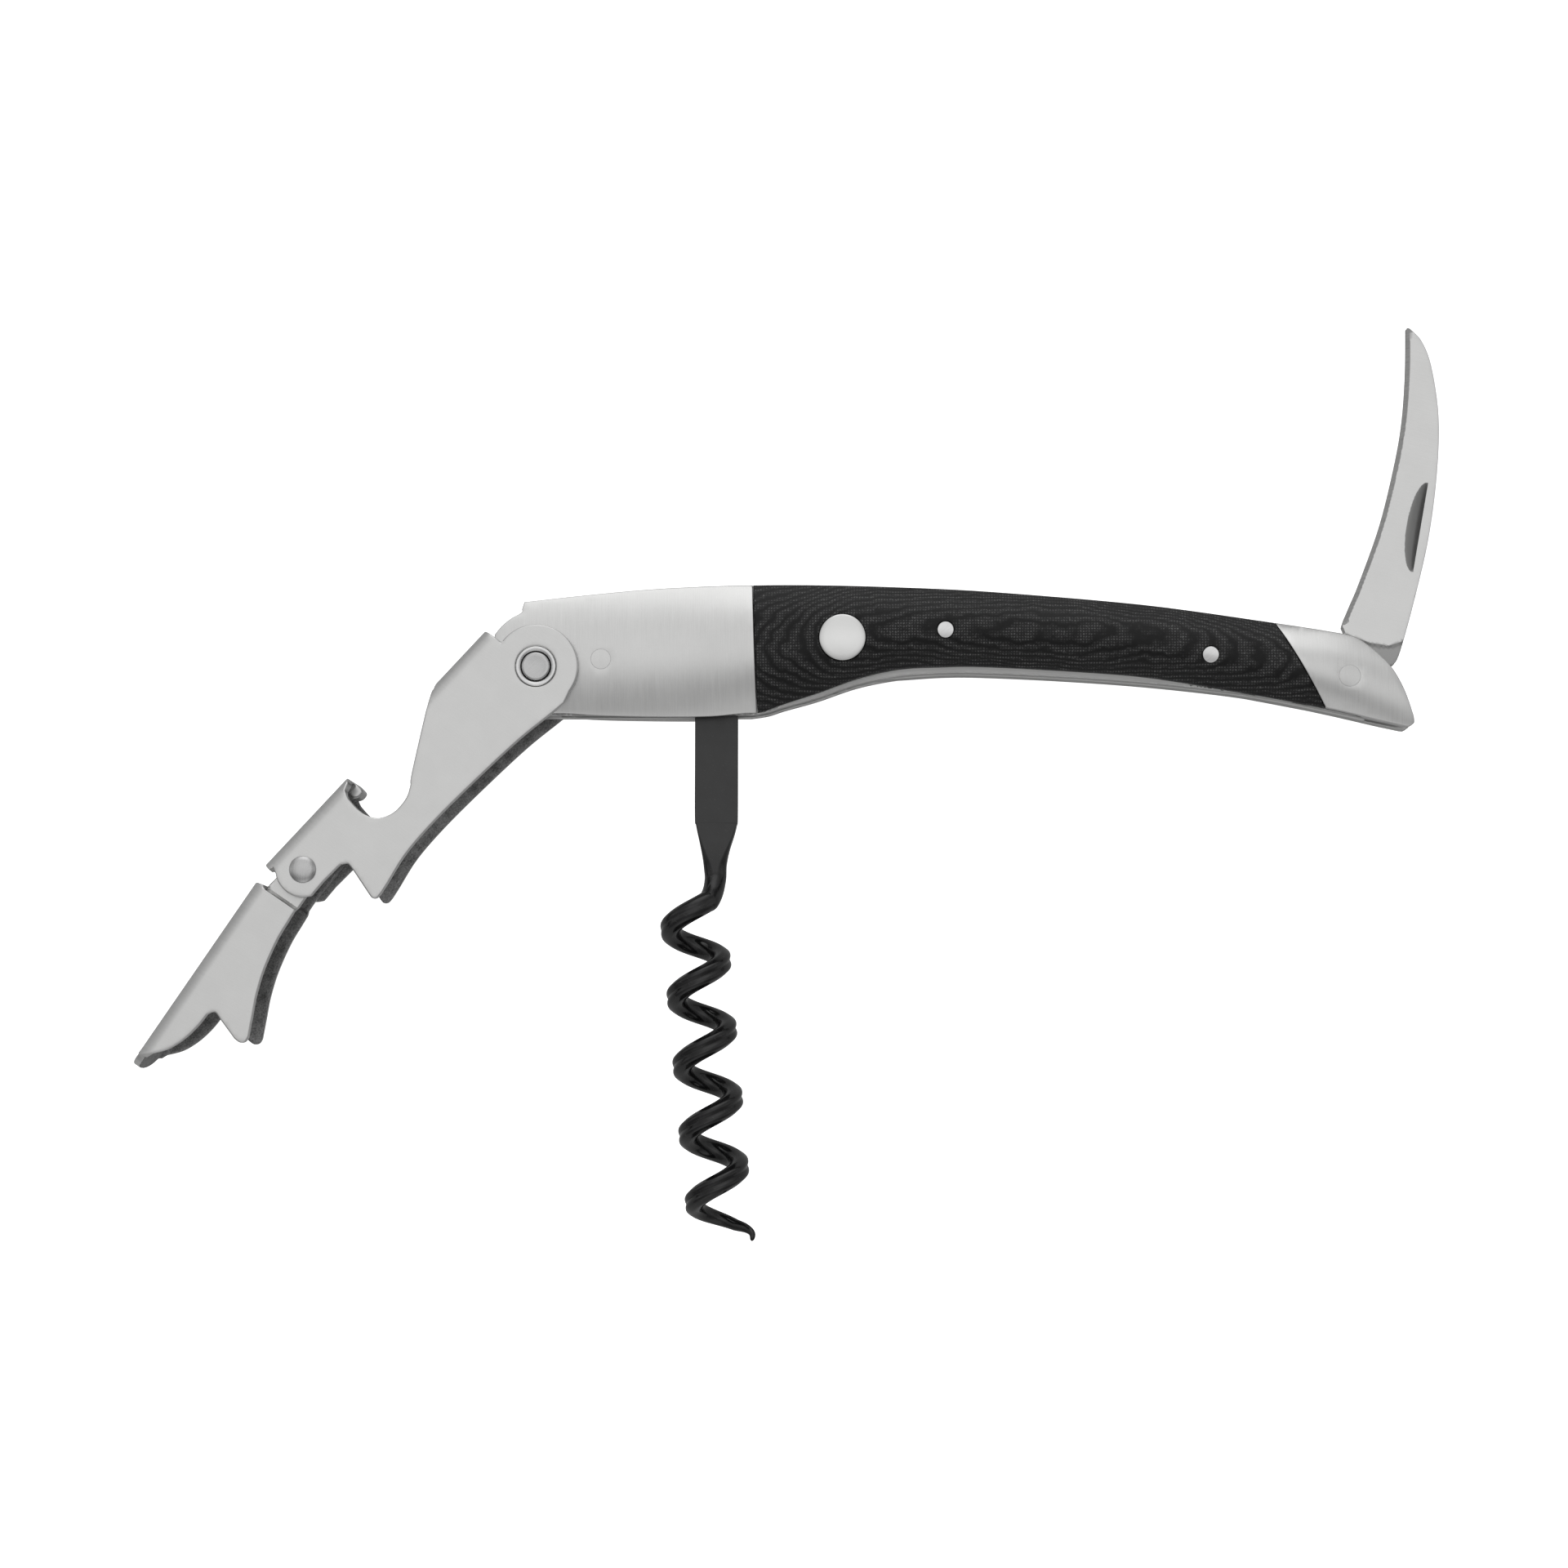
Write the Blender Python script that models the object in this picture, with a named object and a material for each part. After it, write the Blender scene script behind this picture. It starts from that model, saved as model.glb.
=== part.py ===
"""Waiters corkscrew with a two-step lever, modelled lying on its side.

The handle runs along +X, its top edge faces +Y and +Z is up, across the layers of the handle.
Every joint turns about +Z.  Lengths below are millimetres; meshes are made in metres.
"""
import math

import bmesh
import bpy
from mathutils import Matrix, Vector

MM = 0.001

# layers of the handle, as distances from its middle plane
CENTRE_HALF = 1.4        # back spring and spacer
BLADE_HALF = 1.15
SHANK_HALF = 1.3         # flat shank of the worm
LINER_IN = 1.5
LINER_OUT = 2.7
COVER_IN = 2.8           # inner face of bolsters and scales
COVER_EDGE = 3.3         # half thickness of the domed covers at their rims

# points on the handle, from the lever pivot
WORM_PIVOT = (23.4, -3.0)
BLADE_PIVOT = (106.1, -1.25)
SPRING_RIVET = (8.4, 1.1)
SCALE_PINS = ((53.5, 4.75), (88.0, 1.45))
MEDALLION = (40.05, 3.8)
FRONT_SEAM = ((28.25, 11.3), (28.9, -7.5))
REAR_SEAM = ((96.1, 6.6), (103.6, -6.2))
SEAM_GAP = 0.06

# pins
LEVER_PIN_R = 1.85
BUSH_IN_R = 1.95
BUSH_OUT_R = 2.62
RIVET_R = 1.3
BLADE_PIN_R = 1.4
WORM_PIN_R = 1.1
SCALE_PIN_R = 1.05
MEDALLION_R = 3.03
HOLE_GAP = 0.08

# lever channel
WALL_OUT = 6.35
SHEET = 1.2
WALL_IN = WALL_OUT - SHEET
EAR_R = 5.5
WEB = -8.25              # outer face of the web, seen from the lever pivot
LEVER_ANGLE = 227.0
SECOND_PIVOT = (40.15, -4.05)
SECOND_ANGLE = 8.7
SECOND_EAR_R = 3.6
SECOND_WEB = -4.35
TONGUE_OUT = WALL_IN - 0.2
TONGUE_IN = TONGUE_OUT - SHEET
STEP_RIVET_R = 1.3
STEP_HEAD_R = 1.75

# worm
WIRE_R = 1.4
HELIX_R = 3.25
PITCH = 9.03
TURNS = 4.45
HELIX_TILT = 5.1
SHANK_HALF_WIDTH = 2.8

BRUSHED = ((0.62, 0.62, 0.61), 0.32, 1.0)
BRIGHT = ((0.78, 0.78, 0.77), 0.18, 1.0)
COATED = ((0.02, 0.02, 0.022), 0.38, 0.0)
MICARTA = ((0.018, 0.018, 0.019), 0.55, 0.0)


# ---------------------------------------------------------------- helpers

def clear_scene():
    for thing in list(bpy.data.objects):
        bpy.data.objects.remove(thing)


def material(name, look):
    found = bpy.data.materials.get(name)
    if found:
        return found
    colour, roughness, metallic = look
    made = bpy.data.materials.new(name)
    made.use_nodes = True
    shader = made.node_tree.nodes["Principled BSDF"]
    shader.inputs["Base Color"].default_value = (*colour, 1.0)
    shader.inputs["Roughness"].default_value = roughness
    shader.inputs["Metallic"].default_value = metallic
    return made


def frame(name, place, turn=0.0, parent=None):
    """An empty on a joint's axis, or at the handle's reference point."""
    empty = bpy.data.objects.new(name, None)
    bpy.context.scene.collection.objects.link(empty)
    empty.location = (place[0] * MM, place[1] * MM, 0.0)
    empty.rotation_euler = (0.0, 0.0, math.radians(turn))
    empty.parent = parent
    return empty


def add(name, mesh_data, parent, look=None, shaded=None):
    """Link a bmesh made in millimetres as an object in metres."""
    bmesh.ops.recalc_face_normals(mesh_data, faces=mesh_data.faces)
    bmesh.ops.transform(mesh_data, matrix=Matrix.Scale(MM, 4), verts=mesh_data.verts)
    mesh = bpy.data.meshes.new(name)
    mesh_data.to_mesh(mesh)
    mesh_data.free()
    thing = bpy.data.objects.new(name, mesh)
    bpy.context.scene.collection.objects.link(thing)
    thing.parent = parent
    if look:
        mesh.materials.append(material(*look))
    if shaded:
        mesh.shade_smooth()
        mesh.set_sharp_from_angle(angle=math.radians(shaded))
    return thing


def cutter(name, mesh_data, parent):
    thing = add(name, mesh_data, parent)
    thing.hide_render = True
    thing.display_type = "WIRE"
    return thing


def combine(thing, other, operation):
    modifier = thing.modifiers.new(other.name, "BOOLEAN")
    modifier.operation = operation
    modifier.solver = "EXACT"
    modifier.object = other


def arc(centre, radius, start, end, steps):
    """Points along an arc, angles in degrees, both ends included."""
    points = []
    for i in range(steps + 1):
        angle = math.radians(start + (end - start) * i / steps)
        points.append((centre[0] + radius * math.cos(angle), centre[1] + radius * math.sin(angle)))
    return points


def smooth(points, steps):
    """A curve through the points, with the given number of steps between two of them."""
    ends = [points[0], *points, points[-1]]
    curve = []
    for a, b, c, d in zip(ends, ends[1:], ends[2:], ends[3:]):
        for i in range(steps):
            t = i / steps
            curve.append(tuple(
                0.5 * (2 * q + (r - p) * t + (2 * p - 5 * q + 4 * r - s) * t * t
                       + (3 * q - p - 3 * r + s) * t ** 3)
                for p, q, r, s in zip(a, b, c, d)))
    return curve + [points[-1]]


def prism(outline, low, high):
    made = bmesh.new()
    bottom = [made.verts.new((x, y, low)) for x, y in outline]
    face = made.faces.new(bottom)
    grown = bmesh.ops.extrude_face_region(made, geom=[face])
    lifted = [v for v in grown["geom"] if isinstance(v, bmesh.types.BMVert)]
    bmesh.ops.translate(made, vec=(0.0, 0.0, high - low), verts=lifted)
    return made


def cylinder(place, radius, low, high, sides=20):
    return prism(arc(place, radius, 0, 360 * (sides - 1) / sides, sides - 1), low, high)


def turned(place, profile, sides=20):
    """A turned piece from (radius, height) points that start and end on its axis."""
    made = bmesh.new()
    rings = []
    for radius, height in profile:
        if radius == 0:
            rings.append([made.verts.new((place[0], place[1], height))])
        else:
            ring = arc(place, radius, 0, 360 * (sides - 1) / sides, sides - 1)
            rings.append([made.verts.new((x, y, height)) for x, y in ring])
    join_rings(made, rings)
    return made


def join_rings(made, rings):
    for a, b in zip(rings, rings[1:]):
        count = max(len(a), len(b))
        for i in range(count):
            j = (i + 1) % count
            if len(a) == 1:
                made.faces.new((a[0], b[i], b[j]))
            elif len(b) == 1:
                made.faces.new((a[i], b[0], a[j]))
            else:
                made.faces.new((a[i], b[i], b[j], a[j]))


def ring_piece(place, inner, outer, low, high, sides=24):
    made = bmesh.new()
    rings = []
    for radius, height in ((inner, low), (outer, low), (outer, high), (inner, high)):
        circle = arc(place, radius, 0, 360 * (sides - 1) / sides, sides - 1)
        rings.append([made.verts.new((x, y, height)) for x, y in circle])
    join_rings(made, rings + rings[:1])
    return made


def drill(thing, name, place, radius, parent, depth=9.0, sides=20):
    hole = cutter(name, cylinder(place, radius, -depth, depth, sides), parent)
    combine(thing, hole, "DIFFERENCE")


# ---------------------------------------------------------------- handle outline

TOP_EDGE = [(-1.75, 8.75), (4.7, 9.5), (13.2, 10.35), (20.7, 10.8), (28.2, 11.0), (36.7, 11.0),
            (47.4, 10.7), (59.6, 10.1), (79.5, 8.35), (96.6, 5.9), (105.5, 4.46)]
REAR_END = [(105.5, 4.46), (107.9, 3.5), (111.2, 0.55), (113.15, -2.7), (114.5, -6.4)]
REAR_CORNER = [(114.5, -6.4), (114.55, -7.3), (113.9, -7.75)]
LINER_BELLY = [(27.9, -6.1), (30.2, -5.75), (32.4, -5.05), (36.7, -3.85), (42.0, -2.05),
               (47.4, -1.0), (52.9, -0.6), (58.3, -0.6), (69.0, -1.1), (79.9, -1.9),
               (90.7, -3.1), (97.2, -4.2), (103.2, -5.45), (113.9, -7.75)]
COVER_BELLY = [(1.0, -5.95), (3.6, -5.9), (9.0, -6.2), (17.5, -6.42), (22.9, -6.3), (27.1, -5.9),
               (29.2, -5.75), (32.5, -4.6), (36.8, -3.2), (42.1, -1.3), (47.4, -0.1), (52.8, 0.2),
               (58.1, 0.25), (68.8, -0.3), (79.5, -1.15), (90.1, -2.85), (100.8, -4.85),
               (105.2, -5.75), (109.5, -6.8), (113.6, -7.7)]
NOSE_R = 6.4


def nose():
    """The round front end, from the stop step over the pivot and back under it."""
    crescent = [(-2.05, 7.75), (-2.1, 7.3), (-3.4, 6.55), (-4.65, 5.5), (-5.55, 4.35)]
    return crescent + arc((0, 0), NOSE_R, 158, 256, 10)


def liner_outline(steps=2):
    top = smooth(TOP_EDGE, steps) + smooth(REAR_END, steps)[1:] + smooth(REAR_CORNER, steps)[1:]
    belly = smooth(LINER_BELLY, steps)
    return nose() + [(1.0, -6.1)] + belly + list(reversed(top))[1:]


def cover_outline(steps=2):
    top = smooth(TOP_EDGE, steps) + smooth(REAR_END, steps)[1:] + smooth(REAR_CORNER, steps)[1:-1]
    return nose() + smooth(COVER_BELLY, steps) + list(reversed(top))


def middle_half_thickness(x):
    """How far the domed covers stand from the middle plane along the handle's centre line."""
    stations = ((-10, 4.9), (17, 4.9), (23.5, 5.2), (29, 5.65), (37, 6.0), (48, 6.2), (80, 6.2),
                (95, 6.0), (105, 5.5), (112, 4.7), (118, 4.0))
    for (x0, t0), (x1, t1) in zip(stations, stations[1:]):
        if x <= x1:
            share = max(0.0, (x - x0) / (x1 - x0))
            return t0 + (t1 - t0) * share
    return stations[-1][1]


def centre_line(x):
    """Mid height of the handle and half its height, at a place along it."""
    stations = ((-10, 1.6, 8.6), (13, 2.0, 8.45), (28, 2.55, 8.45), (37, 3.9, 7.1), (48, 5.2, 5.5),
                (58, 5.15, 4.95), (80, 3.5, 4.7), (97, 0.75, 5.1), (106, -0.8, 5.2), (113, -4.6, 3.2),
                (118, -6.5, 2.0))
    for (x0, m0, h0), (x1, m1, h1) in zip(stations, stations[1:]):
        if x <= x1:
            share = max(0.0, (x - x0) / (x1 - x0))
            return m0 + (m1 - m0) * share, h0 + (h1 - h0) * share
    return stations[-1][1:]


def dome(x, y):
    """Half thickness of the covers over a point of the handle."""
    middle, half = centre_line(x)
    rise = middle_half_thickness(x) - COVER_EDGE
    across = abs(y - middle) / half
    return max(COVER_IN + 0.15, COVER_EDGE + rise * (1.0 - across ** 2.3))


def domed_slab(side, stations, rows=10):
    """The body that all covers of one side share, flat inside and domed outside."""
    made = bmesh.new()
    rings = []
    for x in stations:
        middle, half = centre_line(x)
        reach = half * 1.2 + 1.0
        ring = []
        for i in range(rows + 1):
            y = middle - reach + 2 * reach * i / rows
            ring.append(made.verts.new((x, y, side * dome(x, y))))
        ring.append(made.verts.new((x, middle + reach, side * COVER_IN)))
        ring.append(made.verts.new((x, middle - reach, side * COVER_IN)))
        rings.append(ring)
    for a, b in zip(rings, rings[1:]):
        for i in range(len(a)):
            j = (i + 1) % len(a)
            made.faces.new((a[i], a[j], b[j], b[i]))
    made.faces.new(rings[0])
    made.faces.new(list(reversed(rings[-1])))
    return made


# ---------------------------------------------------------------- handle

def clipped(outline, seam, keep_right):
    """The part of an outline on one side of a straight seam."""
    (x0, y0), (x1, y1) = seam
    way = 1 if keep_right else -1

    def side(point):
        return way * ((x1 - x0) * (point[1] - y0) - (y1 - y0) * (point[0] - x0))

    kept = []
    for here, after in zip(outline, outline[1:] + outline[:1]):
        a, b = side(here), side(after)
        if a >= 0:
            kept.append(here)
        if (a >= 0) != (b >= 0):
            share = a / (a - b)
            kept.append(tuple(p + (q - p) * share for p, q in zip(here, after)))
    return kept


def shifted(seam, amount):
    return tuple((x + amount, y) for x, y in seam)


def cover_outlines():
    """Side views of the front bolster, the scale and the rear bolster."""
    whole = cover_outline()
    behind_front = clipped(whole, shifted(FRONT_SEAM, SEAM_GAP), True)
    return {
        "front_bolster": clipped(whole, shifted(FRONT_SEAM, -SEAM_GAP), False),
        "scale": clipped(behind_front, shifted(REAR_SEAM, -SEAM_GAP), False),
        "rear_bolster": clipped(whole, shifted(REAR_SEAM, SEAM_GAP), True),
    }


def covers(handle):
    """Front bolster, scale and rear bolster on each side, all cut from one domed slab."""
    stations = {
        "front_bolster": (-12, 8, 17, 23.5, 31),
        "scale": (26, 29, 37, 48, 58, 69, 80, 95, 106),
        "rear_bolster": (93, 97, 101, 105, 109, 112, 118),
    }
    for side_name, side in (("near", 1), ("far", -1)):
        made = {}
        for kind, outline in cover_outlines().items():
            name = f"{side_name}_{kind}"
            look = ("micarta", MICARTA) if kind == "scale" else ("brushed_steel", BRUSHED)
            piece = add(name, domed_slab(side, stations[kind]), handle, look, shaded=35)
            shape = cutter(f"cut_{name}", prism(outline, -9, 9), handle)
            combine(piece, shape, "INTERSECT")
            made[kind] = piece
        holes = [("front_bolster", (0, 0), LEVER_PIN_R), ("front_bolster", SPRING_RIVET, RIVET_R),
                 ("rear_bolster", BLADE_PIVOT, BLADE_PIN_R)]
        holes += [("scale", place, SCALE_PIN_R) for place in SCALE_PINS]
        for i, (kind, place, radius) in enumerate(holes):
            drill(made[kind], f"cut_{side_name}_cover_hole_{i}", place, radius + HOLE_GAP, handle)
        if side_name == "near":
            floor = dome(*MEDALLION) - 1.15
            pocket = cylinder(MEDALLION, MEDALLION_R + HOLE_GAP, floor, 9, sides=28)
            combine(made["scale"], cutter("cut_medallion_pocket", pocket, handle), "DIFFERENCE")


def liners(handle):
    for side_name, side in (("near", 1), ("far", -1)):
        low, high = sorted((side * LINER_IN, side * LINER_OUT))
        liner = add(f"{side_name}_liner", prism(liner_outline(), low, high), handle,
                    ("brushed_steel", BRUSHED))
        holes = (((0, 0), LEVER_PIN_R), (SPRING_RIVET, RIVET_R), (BLADE_PIVOT, BLADE_PIN_R),
                 (WORM_PIVOT, WORM_PIN_R), (SCALE_PINS[0], SCALE_PIN_R),
                 (SCALE_PINS[1], SCALE_PIN_R))
        for i, (place, radius) in enumerate(holes):
            drill(liner, f"cut_{side_name}_liner_{i}", place, radius + HOLE_GAP, handle)


def spring_outline():
    """A bar from the front rivet, over the worm's tang and under the blade's tang."""
    under = smooth([(3.4, 0.2), (30.0, 0.25), (36.0, -0.35), (42.5, -1.3), (47.4, -1.15),
                    (52.9, -0.8), (58.3, -0.8), (69.0, -1.3), (79.9, -2.1), (90.7, -3.3),
                    (97.2, -4.4), (103.2, -5.65), (108.4, -6.85)], 2)
    over = smooth([(108.75, -5.7), (103.5, -4.75), (98.0, -3.0), (90.0, -0.7), (80.0, 1.1),
                   (68.0, 2.3), (58.0, 2.6), (40.0, 3.1), (20.0, 3.3), (3.4, 3.3)], 2)
    return under + over


def centre_layer(handle):
    steel = ("brushed_steel", BRUSHED)
    spring = add("back_spring", prism(spring_outline(), -CENTRE_HALF, CENTRE_HALF), handle, steel)
    drill(spring, "cut_spring_rivet_hole", SPRING_RIVET, RIVET_R + HOLE_GAP, handle)

    front = nose()[1:]
    front_low = [(2.9, -6.0), (2.9, 3.6)]
    inner = [(20.0, 3.6), (40.0, 3.4), (55.0, 3.0), (56.0, 5.2), (55.4, 10.0)]
    top = list(reversed(smooth(TOP_EDGE[:7], 2)))
    outline = front + front_low + inner + top
    spacer = add("centre_spacer", prism(outline, -CENTRE_HALF, CENTRE_HALF), handle, steel)
    drill(spacer, "cut_spacer_lever_pin", (0, 0), LEVER_PIN_R + HOLE_GAP, handle)


def pins(handle):
    bright = ("bright_steel", BRIGHT)
    reach = dome(*SPRING_RIVET)
    add("spring_rivet", cylinder(SPRING_RIVET, RIVET_R, -reach, reach), handle, bright, 35)
    reach = dome(*BLADE_PIVOT)
    add("blade_pivot_pin", cylinder(BLADE_PIVOT, BLADE_PIN_R, -reach, reach), handle, bright, 35)
    hidden = cylinder(WORM_PIVOT, WORM_PIN_R, -LINER_OUT, LINER_OUT)
    add("worm_pivot_pin", hidden, handle, bright, 35)
    for side_name, side in (("near", 1), ("far", -1)):
        for where, place in zip(("front", "rear"), SCALE_PINS):
            low, high = sorted((side * LINER_IN, side * dome(*place)))
            add(f"{side_name}_{where}_scale_pin", cylinder(place, SCALE_PIN_R, low, high),
                handle, bright, 35)
    face = dome(*MEDALLION)
    profile = ((0, face - 1.0), (MEDALLION_R, face - 1.0), (MEDALLION_R, face - 0.05),
               (MEDALLION_R - 0.15, face), (0, face))
    add("near_medallion", turned(MEDALLION, profile, 28), handle, bright, 35)


# ---------------------------------------------------------------- lever

def channel_bar(start, end, web, depth, outer, radius=1.8, steps=4):
    """A straight U-shaped bar along +X, open towards +Y, with rounded outer corners."""
    inner = outer - SHEET
    corner = [(web + radius - radius * math.cos(math.radians(90 * i / steps)),
               outer - radius + radius * math.sin(math.radians(90 * i / steps)))
              for i in range(steps + 1)]
    half = corner + [(depth, outer), (depth, inner), (web + SHEET, inner)]
    section = half + [(y, -z) for y, z in reversed(half)]
    made = bmesh.new()
    rings = [[made.verts.new((x, y, z)) for y, z in section] for x in (start, end)]
    join_rings(made, rings)
    made.faces.new(rings[0])
    made.faces.new(list(reversed(rings[1])))
    return made


def first_stage_outline():
    """Side view of the first step: ear, channel, cap-lifter notch, foot and second ear."""
    ear = arc((0, 0), EAR_R, 278, 110, 14)
    free_edge = smooth([(0.2, 6.0), (3.1, 5.75), (8.4, 5.0), (15.6, 4.5), (23.3, 4.2), (29.2, 4.4),
                        (33.8, 5.3), (35.6, 5.6)], 2)
    foot = [(36.2, 5.6), (36.6, 5.3), (36.6, 4.75), (35.6, 0.35), (35.55, -0.4), (36.2, -0.9)]
    second_ear = [(39.4, -1.0)] + arc(SECOND_PIVOT, SECOND_EAR_R, 62, -38, 8) + [(43.15, -6.6)]
    back = [(43.2, -7.0), (43.2, -9.0), (27.3, -9.0), (27.3, -7.3), (28.85, -7.2)]
    notch = smooth([(29.35, -6.0), (29.5, -4.2), (29.25, -2.7), (28.4, -1.35), (26.6, -0.5),
                    (24.3, -0.55), (22.6, -1.3), (21.1, -2.4)], 2)
    shoulder = smooth([(12.4, -7.5), (11.4, -7.9), (10.0, -8.4)], 2)
    web_start = [(9.0, -9.0), (1.15, -9.0), (0.9, -6.8)]
    return ear + free_edge + foot + second_ear + back + notch + shoulder + web_start


def cap_tooth():
    """The lip that is bent inwards from the web's end, and bites under a crown cap."""
    return prism([(27.6, -7.6), (29.4, -7.6), (29.2, -6.1), (28.4, -5.9), (27.6, -6.0)], -2.2, 2.2)


def first_stage(lever):
    steel = ("brushed_steel", BRUSHED)
    piece = add("lever_first_stage", channel_bar(-8, 46, WEB, 9, WALL_OUT), lever, steel, 35)
    combine(piece, cutter("cut_first_stage", prism(first_stage_outline(), -8, 8), lever), "INTERSECT")
    combine(piece, cutter("add_cap_tooth", cap_tooth(), lever), "UNION")
    drill(piece, "cut_lever_ear_hole", (0, 0), BUSH_OUT_R + HOLE_GAP, lever, sides=24)
    drill(piece, "cut_second_ear_hole", SECOND_PIVOT, STEP_RIVET_R + HOLE_GAP, lever)


def lever_pins(pivot, lever):
    bright = ("bright_steel", BRIGHT)
    head = WALL_OUT + 0.15
    profile = ((0, -head), (LEVER_PIN_R - 0.3, -head), (LEVER_PIN_R, -head + 0.3),
               (LEVER_PIN_R, head - 0.3), (LEVER_PIN_R - 0.3, head), (0, head))
    add("lever_pivot_pin", turned((0, 0), profile), pivot, bright, 35)
    for side_name, side in (("near", 1), ("far", -1)):
        low, high = sorted((side * (WALL_IN + 0.02), side * (WALL_OUT + 0.1)))
        add(f"{side_name}_lever_bush", ring_piece((0, 0), BUSH_IN_R, BUSH_OUT_R, low, high), lever,
            bright, 35)
    inner, face = WALL_OUT + 0.05, WALL_OUT + 0.55
    half = [(STEP_RIVET_R, inner), (STEP_HEAD_R, inner), (STEP_HEAD_R, inner + 0.2),
            (STEP_HEAD_R * 0.75, face - 0.1), (0, face)]
    profile = [(r, -z) for r, z in reversed(half)] + half
    add("second_stage_rivet", turned(SECOND_PIVOT, profile), lever, bright, 35)


def second_stage_outline():
    """Side view of the second step below its joggle, from its own pivot."""
    top = [(4.45, 2.3), (4.45, -3.4), (4.9, -5.5)]
    back = [(32.2, -5.5), (32.2, -3.95)]
    lip = smooth([(30.65, -2.4), (29.1, -1.15), (26.9, -0.2), (24.6, 0.3), (22.6, 0.45)], 2)
    foot = [(21.75, 0.9), (22.15, 2.2), (23.2, 5.0), (23.3, 5.8), (22.7, 6.5), (22.0, 6.6)]
    free_edge = smooth([(19.3, 5.4), (16.8, 4.3), (13.5, 3.25), (9.5, 2.5), (6.5, 2.3)], 2)
    return top + back + lip + foot + free_edge


def second_stage(step):
    steel = ("brushed_steel", BRUSHED)
    piece = add("lever_second_stage", channel_bar(3, 36, SECOND_WEB, 8, WALL_OUT), step, steel, 35)
    shape = cutter("cut_second_stage", prism(second_stage_outline(), -8, 8), step)
    combine(piece, shape, "INTERSECT")
    # the web runs on past the walls as a rounded tongue that turns slightly outwards
    tip = [(31.6, SECOND_WEB + SHEET - 0.02), (31.6, SECOND_WEB + 0.02), (32.8, SECOND_WEB - 0.15),
           (33.7, SECOND_WEB - 0.35), (34.1, SECOND_WEB), (34.0, SECOND_WEB + 0.7),
           (33.2, SECOND_WEB + 1.0)]
    combine(piece, cutter("add_web_tip", prism(tip, -3.6, 3.6), step), "UNION")
    ear = arc((0, 0), 2.6, 190, 300, 8)
    tongue = [(-3.7, 2.6), (-3.9, 1.2)] + ear + [(3.6, -2.6), (5.9, -2.6), (5.9, 2.25), (2.5, 2.2),
                                               (-0.5, 2.45)]
    for side_name, side in (("near", 1), ("far", -1)):
        low, high = sorted((side * TONGUE_IN, side * TONGUE_OUT))
        plate = cutter(f"add_{side_name}_tongue", prism(tongue, low, high), step)
        combine(piece, plate, "UNION")
        low, high = sorted((side * TONGUE_IN, side * (WALL_IN + 0.3)))
        joggle = prism([(4.6, 2.15), (4.6, -3.0), (5.8, -3.0), (5.8, 2.15)], low, high)
        combine(piece, cutter(f"add_{side_name}_joggle", joggle, step), "UNION")
    drill(piece, "cut_tongue_hole", (0, 0), STEP_RIVET_R + HOLE_GAP, step)


# ---------------------------------------------------------------- worm

def helix_point(turn):
    """A point on the wire's centre line, in the worm's own frame: +X away from the pivot."""
    start = (32.0, -2.85)
    along = PITCH * (turn - 0.5)
    angle = 2 * math.pi * turn
    tilt = math.radians(HELIX_TILT)
    reach = HELIX_R
    side = reach * math.cos(angle)
    x = start[0] + along * math.cos(tilt) - side * math.sin(tilt)
    y = start[1] + along * math.sin(tilt) + side * math.cos(tilt)
    return Vector((x - 1.0, y, reach * math.sin(angle)))


def worm_route(per_turn):
    """Centre line and half sizes of the wire: flat shank, neck, coils and point."""
    neck = ((14.0, 0.0, 0.0, SHANK_HALF_WIDTH - 0.03, SHANK_HALF - 0.03),
            (16.7, 0.0, 0.0, SHANK_HALF_WIDTH - 0.03, SHANK_HALF - 0.03),
            (19.4, -0.1, 0.0, 2.05, 1.32), (21.6, -0.2, 0.0, 1.6, WIRE_R),
            (23.4, 0.15, -0.25, WIRE_R, WIRE_R), (25.2, 0.5, -0.1, WIRE_R, WIRE_R))
    route = [(Vector(point[:3]), point[3], point[4]) for point in neck]
    first = 0.09
    steps = int((TURNS + 0.5 - first) * per_turn)
    for i in range(steps + 1):
        turn = first + (TURNS + 0.5 - first) * i / steps
        left = (steps - i) / per_turn
        taper = min(1.0, 0.22 + 0.78 * (left / 0.45)) if left < 0.45 else 1.0
        route.append((helix_point(turn), WIRE_R * taper, WIRE_R * taper))
    end = route[-1][0]
    route.append((end + Vector((1.3, 0.15, 0.1)), 0.1, 0.1))
    return route


def worm_sweep(per_turn=12, sides=8):
    route = worm_route(per_turn)
    made = bmesh.new()
    rings = []
    across = Vector((0, 1, 0))
    for i, (place, half_width, half_depth) in enumerate(route):
        before = route[max(0, i - 1)][0]
        after = route[min(len(route) - 1, i + 1)][0]
        ahead = (after - before).normalized()
        across = (across - ahead * across.dot(ahead)).normalized()
        up = ahead.cross(across)
        ring = []
        for k in range(sides):
            angle = 2 * math.pi * (k + 0.5) / sides
            offset = across * (half_width * math.cos(angle)) + up * (half_depth * math.sin(angle))
            if i < 2:
                square = 1.0 / math.cos(math.pi / sides)
                offset = across * (half_width * max(-1, min(1, 1.5 * math.cos(angle) * square)))
                offset += up * (half_depth * max(-1, min(1, 1.5 * math.sin(angle) * square)))
            ring.append(made.verts.new(place + offset))
        rings.append(ring)
    join_rings(made, rings)
    made.faces.new(rings[0])
    made.faces.new(list(reversed(rings[-1])))
    return made


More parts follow.
